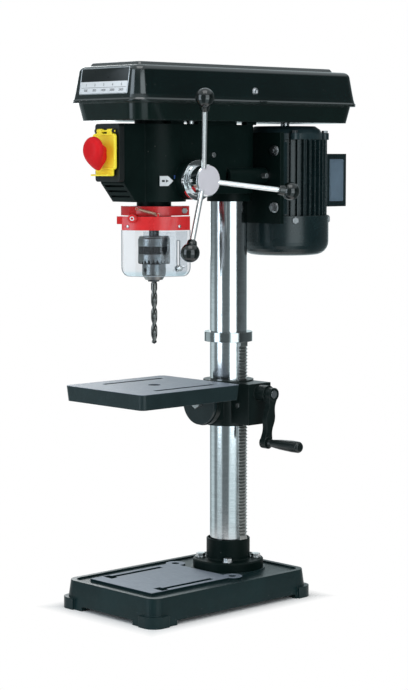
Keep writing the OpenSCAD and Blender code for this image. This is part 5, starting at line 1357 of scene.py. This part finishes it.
    def fixings(self) -> Surface:
        """Two round rivets through the band, and a wing nut with its bolt through both sheets."""
        skin, r = self.band_r - self.fit, self.shank_r
        rivet = rounded([(0, skin - 2, 0), (r, skin - 2, 0.1), (r, skin + 1, 0.1), (r, skin + 2.05, 0.1),
                         (2.6, skin + 2.1, 0.3), (2.2, skin + 3.2, 1.0), (0, skin + 3.6, 0)], 5)
        back = skin - 2 * self.sheet_t - 4.3
        nut = rounded([(0, back, 0), (4.5, back, 0.8), (4.5, back + 3.7, 0.4), (r, back + 3.7, 0.2),
                       (r, skin, 0.1), (5.0, skin + 0.05, 0.4), (3.6, skin + 4.2, 0.8), (r, skin + 4.6, 0.2),
                       (r, skin + 7.0, 0.5), (0, skin + 7.0, 0)], 5)
        parts = [turned(rivet, 28).placed(*self.on_bend(x, self.rivet_z)) for x in self.rivet_xs]
        way, place = self.on_bend(self.wing_x, self.wing_z)
        parts.append(turned(nut, 32).placed(way, place))
        blade = plate(rounded(self.wing, 6, True), self.wing_t, 0.6)
        for flip in (0.0, 180.0):
            upright = turn(2, flip + self.wing_turn) @ turn(0, 90)
            seat = np.array([0.0, 0.0, skin]) + upright @ np.array([0, 0, -self.wing_t / 2])
            parts.append(blade.placed(way @ upright, place + way @ seat))
        return joined(parts)

    def build(self) -> None:
        """Add the spring and what holds the sheets."""
        piece = self.add(self.spring(), "guard_coil", "", "plain_steel", Finishes.SPRING,
                         ["guard_spring"], 60.0)
        tuple(self.in_frame(self.anchor_a) * MM)
        tuple(self.in_frame(self.anchor_b) * MM)
        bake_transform(piece)
        self.edges()
        self.add(self.fixings(), "shield_fixings", "guard", "plain_steel", Finishes.ZINC, ["shield_screws"])
        way, seat = self.spin() @ turn(0, 90), self.in_frame(self.swing_bolt)
        cap = turned(rounded(self.bolt_cap, 5)[::-1], 40).placed(way, seat)
        self.add(cap, "swing_bolt_cap", "frame", "red_paint", Finishes.RED_PAINT)
        ring = turned(rounded(self.bolt_ring, 4, True), 32, ring=True).placed(way, seat)
        self.add(ring, "swing_bolt_ring", "frame", "bright_steel", Finishes.PLATE_PALE)


@dataclass
class FeedLevers(Assembly):
    """Ball knobs of the three feed levers, the hub's end face and the pointer plate beside the depth ring."""

    hub_mid_x: float = 83.5
    hub_end: float = 11.5
    reach: float = 134.0
    tilt: float = 22.9
    first: float = 112.5
    levers: int = 3
    ball_r: float = 14.5
    neck_angle: float = 0.62
    neck: Corners = ((8.3, -14.5, 3.0), (7.4, -21, 0.8), (4.1, -21, 0.2), (4.1, -12, 0))
    hub_face: Corners = ((0, 1.1, 0), (22.6, 0.9, 0.6), (22.9, -0.2, 0))
    side_x: float = 47.0
    housing_r: float = 50.0
    pointer_z: float = 676.2
    zero_z: float = 682.1
    plate_out: float = 0.9
    mark_out: float = 1.05

    def knobs(self) -> Surface:
        """Ball with a flared neck, turned and set on each lever."""
        a = np.linspace(np.pi / 2, -np.pi / 2 + self.neck_angle, 30)
        ball = np.stack([self.ball_r * np.cos(a), self.ball_r * np.sin(a)], axis=-1)
        neck = rounded([(*ball[-1], 0.0), *self.neck], 6)
        knob = turned(np.concatenate([ball, neck, [[0.0, self.neck[-1][1]]]]), 40)
        far = np.array([0, 0, self.reach / math.cos(math.radians(self.tilt))])
        hub = FEED + np.array([self.hub_mid_x, 0.0, 0.0])
        ways = [turn(0, self.first + 360 / self.levers * k) @ turn(2, -self.tilt) @ turn(0, -90)
                for k in range(self.levers)]
        return joined([knob.placed(way, hub + way @ far) for way in ways])

    def side_plate(self, front_y: float, rear_y: float, z: float, half: float, point: float,
                   lift: float) -> Surface:
        """A thin plate bent over the head's side, square in front and pointed behind.

        Its surface lies on the flat side or, where that stands further out, on the round quill
        housing. Its half height is even up to the point's length and then falls to the tip.

        Args:
            front_y: Where it starts.
            rear_y: Where its tip is.
            z: Height of its middle.
            half: Half of its height.
            point: Length of the point.
            lift: How far its face stands off the head.

        Returns:
            The plate.
        """
        y = np.linspace(front_y, rear_y, 40)
        housing = np.sqrt(np.clip(self.housing_r ** 2 - (y - SPINDLE[1]) ** 2, 0, None))
        base = np.maximum(self.side_x, housing)
        tall = half * np.clip((rear_y - y) / max(point, 0.01), 0.02, 1.0)
        inner, outer = base - 0.4, base + lift
        corners = ((inner, -tall), (outer, -tall), (outer, tall), (inner, tall))
        return loft(np.stack([np.stack([x, y, z + rise], -1) for x, rise in corners], axis=1))

    def build(self) -> None:
        """Add the knobs, the hub's end face and the pointer beside the depth ring."""
        self.add(self.knobs(), "lever_balls", "feed", "black_plastic", Finishes.KNOB, ["lever_knobs"])
        end = FEED + np.array([self.hub_mid_x + self.hub_end, 0.0, 0.0])
        face = turned(rounded(self.hub_face, 6)[::-1], 72).placed(turn(1, 90), end)
        self.add(face, "hub_end_face", "feed", "bright_steel", Finishes.HUB_FACE)
        z = self.pointer_z
        pointer = self.side_plate(-135.8, -111.4, z, 7.6, 9.0, self.plate_out)
        self.add(pointer, "depth_pointer", "frame", "clear_plastic", Finishes.PLATE_PALE)
        mark = self.side_plate(-132.5, -126.5, z, 1.6, 0.0, self.mark_out)
        mark = mark.plus(self.side_plate(-124.0, -119.5, z, 2.4, 4.4, self.mark_out))
        self.add(mark, "depth_pointer_marks", "frame", "black_plastic", Finishes.PLATE_DARK)
        zero = self.side_plate(-109.5, -104.5, self.zero_z, 2.8, 2.0, self.plate_out)
        self.add(zero, "depth_zero_mark", "frame", "clear_plastic", Finishes.PLATE_BLUE)


@dataclass
class TableCrank(Assembly):
    """Grip of the table crank."""

    lean: float = 9.0
    axis_z: float = 337.0
    arm: float = 77.5
    axle_r: float = 3.05
    grip_x: float = 105.3
    grip_l: float = 69.0

    def grip(self) -> Surface:
        """Waisted handle turned about its axle."""
        profile = rounded([
            (self.axle_r, 0, 0), (6.4, 0, 0.8), (7.0, 3.5, 1.2), (6.1, 8, 6), (8.0, 26, 26), (9.25, 52, 30),
            (9.0, self.grip_l - 3, 4), (6.5, self.grip_l, 2.5), (self.axle_r, self.grip_l, 0)], 8, True)
        place = turn(0, -self.lean)
        middle = np.array([self.grip_x, COLUMN[1], self.axis_z]) + place @ np.array([0, 0, -self.arm])
        return turned(profile, 40, ring=True).placed(place @ turn(1, 90), middle)

    def build(self) -> None:
        """Add the grip."""
        self.add(self.grip(), "crank_handle", "grip", "black_plastic", Finishes.GRIP, ["crank_grip"])


@dataclass
class BeltDrive(Assembly):
    """The two V-belts."""

    step: float = 12.0
    low: float = 791.0
    large: float = 92.0
    small: float = 74.0
    seat: float = 6.5
    section: Corners = ((0, -2.7, 0.4), (7.9, -4.6, 0.7), (7.9, 4.6, 0.7), (0, 2.7, 0.4))
    arc_points: int = 40
    line_points: int = 29

    def course(self, y1: float, y2: float, z: float) -> tuple[Array, Array]:
        """Course of a V-belt round two pulleys: two arcs and the two lines that touch both.

        Args:
            y1: Axis of the first pulley, with the large step.
            y2: Axis of the second pulley, with the small step.
            z: Middle height.

        Returns:
            The closed path from the middle of one line round the first pulley and then the second, and
            its outward side.
        """
        r1, r2 = self.large / 2 - self.seat, self.small / 2 - self.seat
        lean = math.asin((r1 - r2) / (y2 - y1))
        far = np.linspace(lean, np.pi - lean, self.arc_points)
        near = np.linspace(np.pi - lean, 2 * np.pi + lean, self.arc_points)
        run = np.linspace(0, 1, self.line_points + 2)[1:-1, None]
        arc2 = np.stack([r2 * np.cos(far), y2 + r2 * np.sin(far)], axis=-1)
        arc1 = np.stack([r1 * np.cos(near), y1 + r1 * np.sin(near)], axis=-1)
        flat = np.concatenate([arc2, arc2[-1] + (arc1[0] - arc2[-1]) * run,
                               arc1, arc1[-1] + (arc2[0] - arc1[-1]) * run])
        path = level(np.roll(flat, -self.arc_points - self.line_points // 2, axis=0), z)
        along = np.roll(path, -1, axis=0) - np.roll(path, 1, axis=0)
        return path, np.cross(along, np.array([0.0, 0.0, 1.0]))

    def build(self) -> None:
        """Add both belts. The rear one is in two halves, since each of its pulleys moves on its own joint."""
        section = rounded(self.section, 3, True)
        z = self.low + 1.5 * self.step
        path, side = self.course(SPINDLE[1], IDLER[1], z)
        piece = self.add(carried(path, side, section, closed=True), "front_v_belt", "", "belt_rubber",
                         Finishes.RUBBER, ["front_belt"])
        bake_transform(piece)
        z = self.low + 2.5 * self.step
        path, side = self.course(IDLER[1], MOTOR[1], z)
        half = len(path) // 2
        for name, first, body, axis in (("rear_v_belt_front", 0, "idler_arm", IDLER[1]),
                                        ("rear_v_belt_rear", half, "motor", MOTOR[1])):
            pick = np.arange(first, first + half + 1) % len(path)
            piece = self.add(carried(path[pick], side[pick], section), name, "", "belt_rubber",
                             Finishes.RUBBER, ["rear_belt"])
            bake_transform(piece)


@dataclass
class ReturnSpring(Assembly):
    """Spiral strip spring in its cap."""

    inner_r: float = 6.05
    outer_r: float = 28.1
    turns: int = 6
    strip: float = 0.8
    edge: float = 0.15
    start_x: float = -54.0
    width: float = 16.0

    def build(self) -> None:
        """Add the strip: a spiral whose radius grows evenly with its angle."""
        t = np.linspace(0, 1, self.turns * 48 + 1)
        angle = 2 * np.pi * self.turns * t
        path = around_z(self.inner_r + (self.outer_r - self.inner_r) * t, angle, 0.0)
        section = rounded([(x, y, self.edge) for x, y in (
            (0, 0), (self.strip, 0), (self.strip, self.width), (0, self.width))], 2, True)
        made = carried(path, around_z(1.0, angle, 0.0), section * np.array([1.0, -1.0]))
        made = made.placed(turn(1, -90), (self.start_x, FEED[1], FEED[2]))
        self.add(made, "return_strip", "frame", "plain_steel", Finishes.STEEL, ["return_spring"], 50.0)


@dataclass
class MotorTrim(Assembly):
    """Cover plate let into the side of the capacitor box, and washers under the plate's bolts."""

    seat_x: float = 25.0
    front_y: float = 266.2
    rear_y: float = 300.2
    low_z: float = 638.8
    high_z: float = 709.2
    washer: Corners = ((4.2, 0, 0.1), (8.6, 0, 0.3), (8.6, 1.7, 0.5), (4.2, 1.7, 0.2))
    washer_spots: tuple[Triple, ...] = ((62.0, 99.0, 632.0), (62.0, 99.0, 723.0))

    def build(self) -> None:
        """Add the plate with a pressed border, and the washers."""
        outline = rounded_box(self.rear_y - self.front_y, self.high_z - self.low_z, 2.0, 5)
        made = plate(outline, 1.3, 0.4).plus(rim(drawn_in(outline, 2.2), 1.6, 1.9, 0.6))
        middle = (self.seat_x, (self.front_y + self.rear_y) / 2, (self.low_z + self.high_z) / 2)
        self.add(made.placed(Facing.RIGHT.matrix(), middle), "capacitor_cover", "motor", "motor_paint",
                 Finishes.PANEL_GREY)
        washer = turned(rounded(self.washer, 4, True), 36, ring=True)
        washers = [washer.placed(Facing.FRONT.matrix(), spot) for spot in self.washer_spots]
        self.add(joined(washers), "plate_washers", "motor", "bright_steel", Finishes.ZINC)


class Dressing:
    """Puts a finish on every node that still shows."""

    def build(self) -> None:
        """Assign each node's material."""
        for finish, names in NODE_FINISHES:
            for name in names.split():
                materials = bpy.data.objects[name].data.materials
                materials.clear()
                materials.append(finish.material())


@dataclass(frozen=True)
class Softbox:
    """A rectangular lamp, placed by its direction in degrees from +X, its height and its distance."""

    name: str
    azimuth: float
    height: float
    distance: float
    size: tuple[float, float]
    power: float
    colour: Colour = (1.0, 1.0, 1.0)
    aim: float = 0.45

    def hang(self) -> None:
        """Add the lamp, pointing at the height of its aim on the Z axis."""
        data = bpy.data.lights.new(self.name, "AREA")
        data.shape = "RECTANGLE"
        data.size, data.size_y = self.size
        data.energy = self.power
        data.color = self.colour
        made = bpy.data.objects.new(self.name, data)
        a = math.radians(self.azimuth)
        spot = np.array([self.distance * math.cos(a), self.distance * math.sin(a), self.height])
        made.location = tuple(spot)
        x, y, z = np.array([0.0, 0.0, self.aim]) - spot
        made.rotation_euler = (math.atan2(math.hypot(x, y), -z), 0.0, math.atan2(y, x) - math.pi / 2)
        bpy.context.scene.collection.objects.link(made)


Stops = tuple[tuple[float, float], ...]


@dataclass
class Studio:
    """Camera, lamps, floor and world, in metres."""

    camera_spot: Triple = (2.2713, -2.1436, 0.7136)
    camera_turn: Triple = (84.49, 0.0, 46.64)
    lens: float = 101.98
    lamps: tuple[Softbox, ...] = (
        Softbox("front_softbox", -100.0, 0.75, 1.9, (0.95, 1.9), 18.0, (0.78, 0.9, 1.0)),
        Softbox("right_softbox", -13.0, 0.75, 1.9, (1.3, 1.9), 18.0, (0.86, 0.96, 1.0)),
        Softbox("top_softbox", -40.0, 2.3, 0.7, (1.2, 1.2), 9.5),
        Softbox("back_softbox", 150.0, 1.1, 2.2, (0.6, 1.4), 8.0))
    room: Stops = (
        (0.0, 0.2), (0.09, 0.3), (0.125, 0.2), (0.17, 0.25), (0.2, 0.2), (0.3, 0.19), (0.4, 0.2),
        (0.53, 0.07), (0.6, 0.06), (0.64, 0.08), (0.7, 0.16), (0.8, 0.2), (0.825, 0.9), (0.93, 0.9),
        (0.96, 0.22))
    ground: Stops = (
        (0.0, 0.85), (0.092, 0.85), (0.116, 0.3), (0.165, 0.3), (0.18, 0.72), (0.262, 0.72), (0.28, 0.22),
        (0.388, 0.22), (0.405, 1.0), (0.515, 1.0), (0.532, 0.1), (0.62, 0.16), (0.8, 0.22), (0.825, 0.9),
        (0.93, 0.9), (0.96, 0.22))
    tone: Colour = (0.84, 1.0, 1.04)
    soft: float = 0.36
    overhead: Colour = (0.72, 0.8, 0.83)
    overhead_span: Span = (0.44, 0.6)
    paper: Colour = (0.93, 0.93, 0.93)
    base_half: Span = (0.1, 0.165)
    base_y: float = -0.0345
    shadow_fade: float = 0.04
    white_span: Span = (0.42, 0.58)

    def camera(self) -> None:
        """Stand the camera at the photograph's viewing angle."""
        data = bpy.data.cameras.new("photo_camera")
        data.lens = self.lens
        data.sensor_width = 36.0
        data.sensor_fit = "AUTO"
        data.clip_start = 0.05
        data.clip_end = 60.0
        made = bpy.data.objects.new("photo_camera", data)
        made.location = self.camera_spot
        made.rotation_euler = tuple(math.radians(a) for a in self.camera_turn)
        bpy.context.scene.collection.objects.link(made)
        bpy.context.scene.camera = made

    def surround(self, w: Weaver, way: Feed, stops: Stops) -> Socket:
        """Tone of the studio by the angle round the object.

        Args:
            w: The weaver.
            way: A direction or a place.
            stops: Shares of a turn from -X, each with its tone.

        Returns:
            The colour.
        """
        x, y, _ = w.parts(way)
        around = w.spread(w.math("ARCTAN2", y, x), -math.pi, math.pi)
        ramp = w.node("ShaderNodeValToRGB", {0: around})
        band = ramp.color_ramp
        band.interpolation = "EASE"
        band.elements[0].position, band.elements[1].position = stops[0][0], stops[-1][0]
        for place, _ in stops[1:-1]:
            band.elements.new(place)
        for element, (_, bright) in zip(band.elements, stops):
            element.color = (*(bright * share for share in self.tone), 1.0)
        return ramp.outputs["Color"]

    def floor(self) -> None:
        """Lay a white disc that keeps the shadow beside the base and turns plain white further off."""
        r = np.array([0.0, 200.0, 600.0, 2000.0, 9000.0])[:, None]
        made = loft(around_z(r, full_turn(96), -0.2), caps=False).build("floor")
        material = bpy.data.materials.new("floor_paper")
        material.use_nodes = True
        material.node_tree.nodes.clear()
        w = Weaver(material.node_tree)
        spot = w.spot()
        x, y, _ = w.parts(spot)
        beside = w.math("SUBTRACT", w.math("ABSOLUTE", x), self.base_half[0])
        before = w.math("SUBTRACT", w.math("ABSOLUTE", w.math("ADD", y, -self.base_y)), self.base_half[1])
        rays = w.node("ShaderNodeLightPath").outputs
        seen = w.math("MAXIMUM", rays["Is Camera Ray"], rays["Is Glossy Ray"])
        seen = w.math("MAXIMUM", seen, rays["Is Transmission Ray"])
        factor = w.product(seen, w.spread(w.math("MAXIMUM", beside, before), 0.0, self.shadow_fade))
        paper = w.node("ShaderNodeBsdfDiffuse", {"Color": shade(self.paper)})
        off = w.product(rays["Is Glossy Ray"], w.spread(w.vector("LENGTH", spot), *self.white_span))
        glow = w.node("ShaderNodeEmission", {"Color": w.mix(off, WHITE, self.surround(w, spot, self.ground)),
                                             "Strength": 1.0})
        mixed = w.node("ShaderNodeMixShader", {0: factor, 1: paper.outputs[0], 2: glow.outputs[0]})
        w.node("ShaderNodeOutputMaterial", {"Surface": mixed.outputs[0]})
        made.data.materials.append(material)

    def world(self) -> None:
        """White behind the object, soft grey for its light, and the studio's own tones for its gloss."""
        world = bpy.data.worlds.new("studio_world")
        world.use_nodes = True
        world.node_tree.nodes.clear()
        w = Weaver(world.node_tree)
        way = w.node("ShaderNodeTexCoord").outputs["Generated"]
        rays = w.node("ShaderNodeLightPath").outputs
        above = w.spread(w.parts(way)[2], *self.overhead_span)
        tone = w.mix(above, self.surround(w, way, self.room), shade(self.overhead))
        soft, gloss, white = (
            w.node("ShaderNodeBackground", {"Color": colour, "Strength": strength}).outputs[0]
            for colour, strength in ((WHITE, self.soft), (tone, 1.0), (WHITE, 1.0)))
        lit = w.node("ShaderNodeMixShader", {0: rays["Is Glossy Ray"], 1: soft, 2: gloss}).outputs[0]
        plain = w.math("MAXIMUM", rays["Is Camera Ray"], rays["Is Transmission Ray"])
        last = w.node("ShaderNodeMixShader", {0: plain, 1: lit, 2: white})
        w.node("ShaderNodeOutputWorld", {"Surface": last.outputs[0]})
        bpy.context.scene.world = world

    def build(self) -> None:
        """Set up the whole studio."""
        bpy.context.scene.view_settings.view_transform = "Standard"
        self.camera()
        for lamp in self.lamps:
            lamp.hang()
        self.floor()
        self.world()


def main() -> None:
    """Build every sub-assembly in order and dress the nodes that stay."""
    logging.basicConfig(level=logging.INFO, format="%(message)s")
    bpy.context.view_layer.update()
    Dressing().build()
    for part in (BeltCover(), SwitchFront(), ChuckAndDrill(), ChuckGuard(), FeedLevers(), TableCrank(),
                 BeltDrive(), ReturnSpring(), MotorTrim()):
        part.build()
        LOG.info("built %s", type(part).__name__)
    Studio().build()


if __name__ == "__main__":
    main()
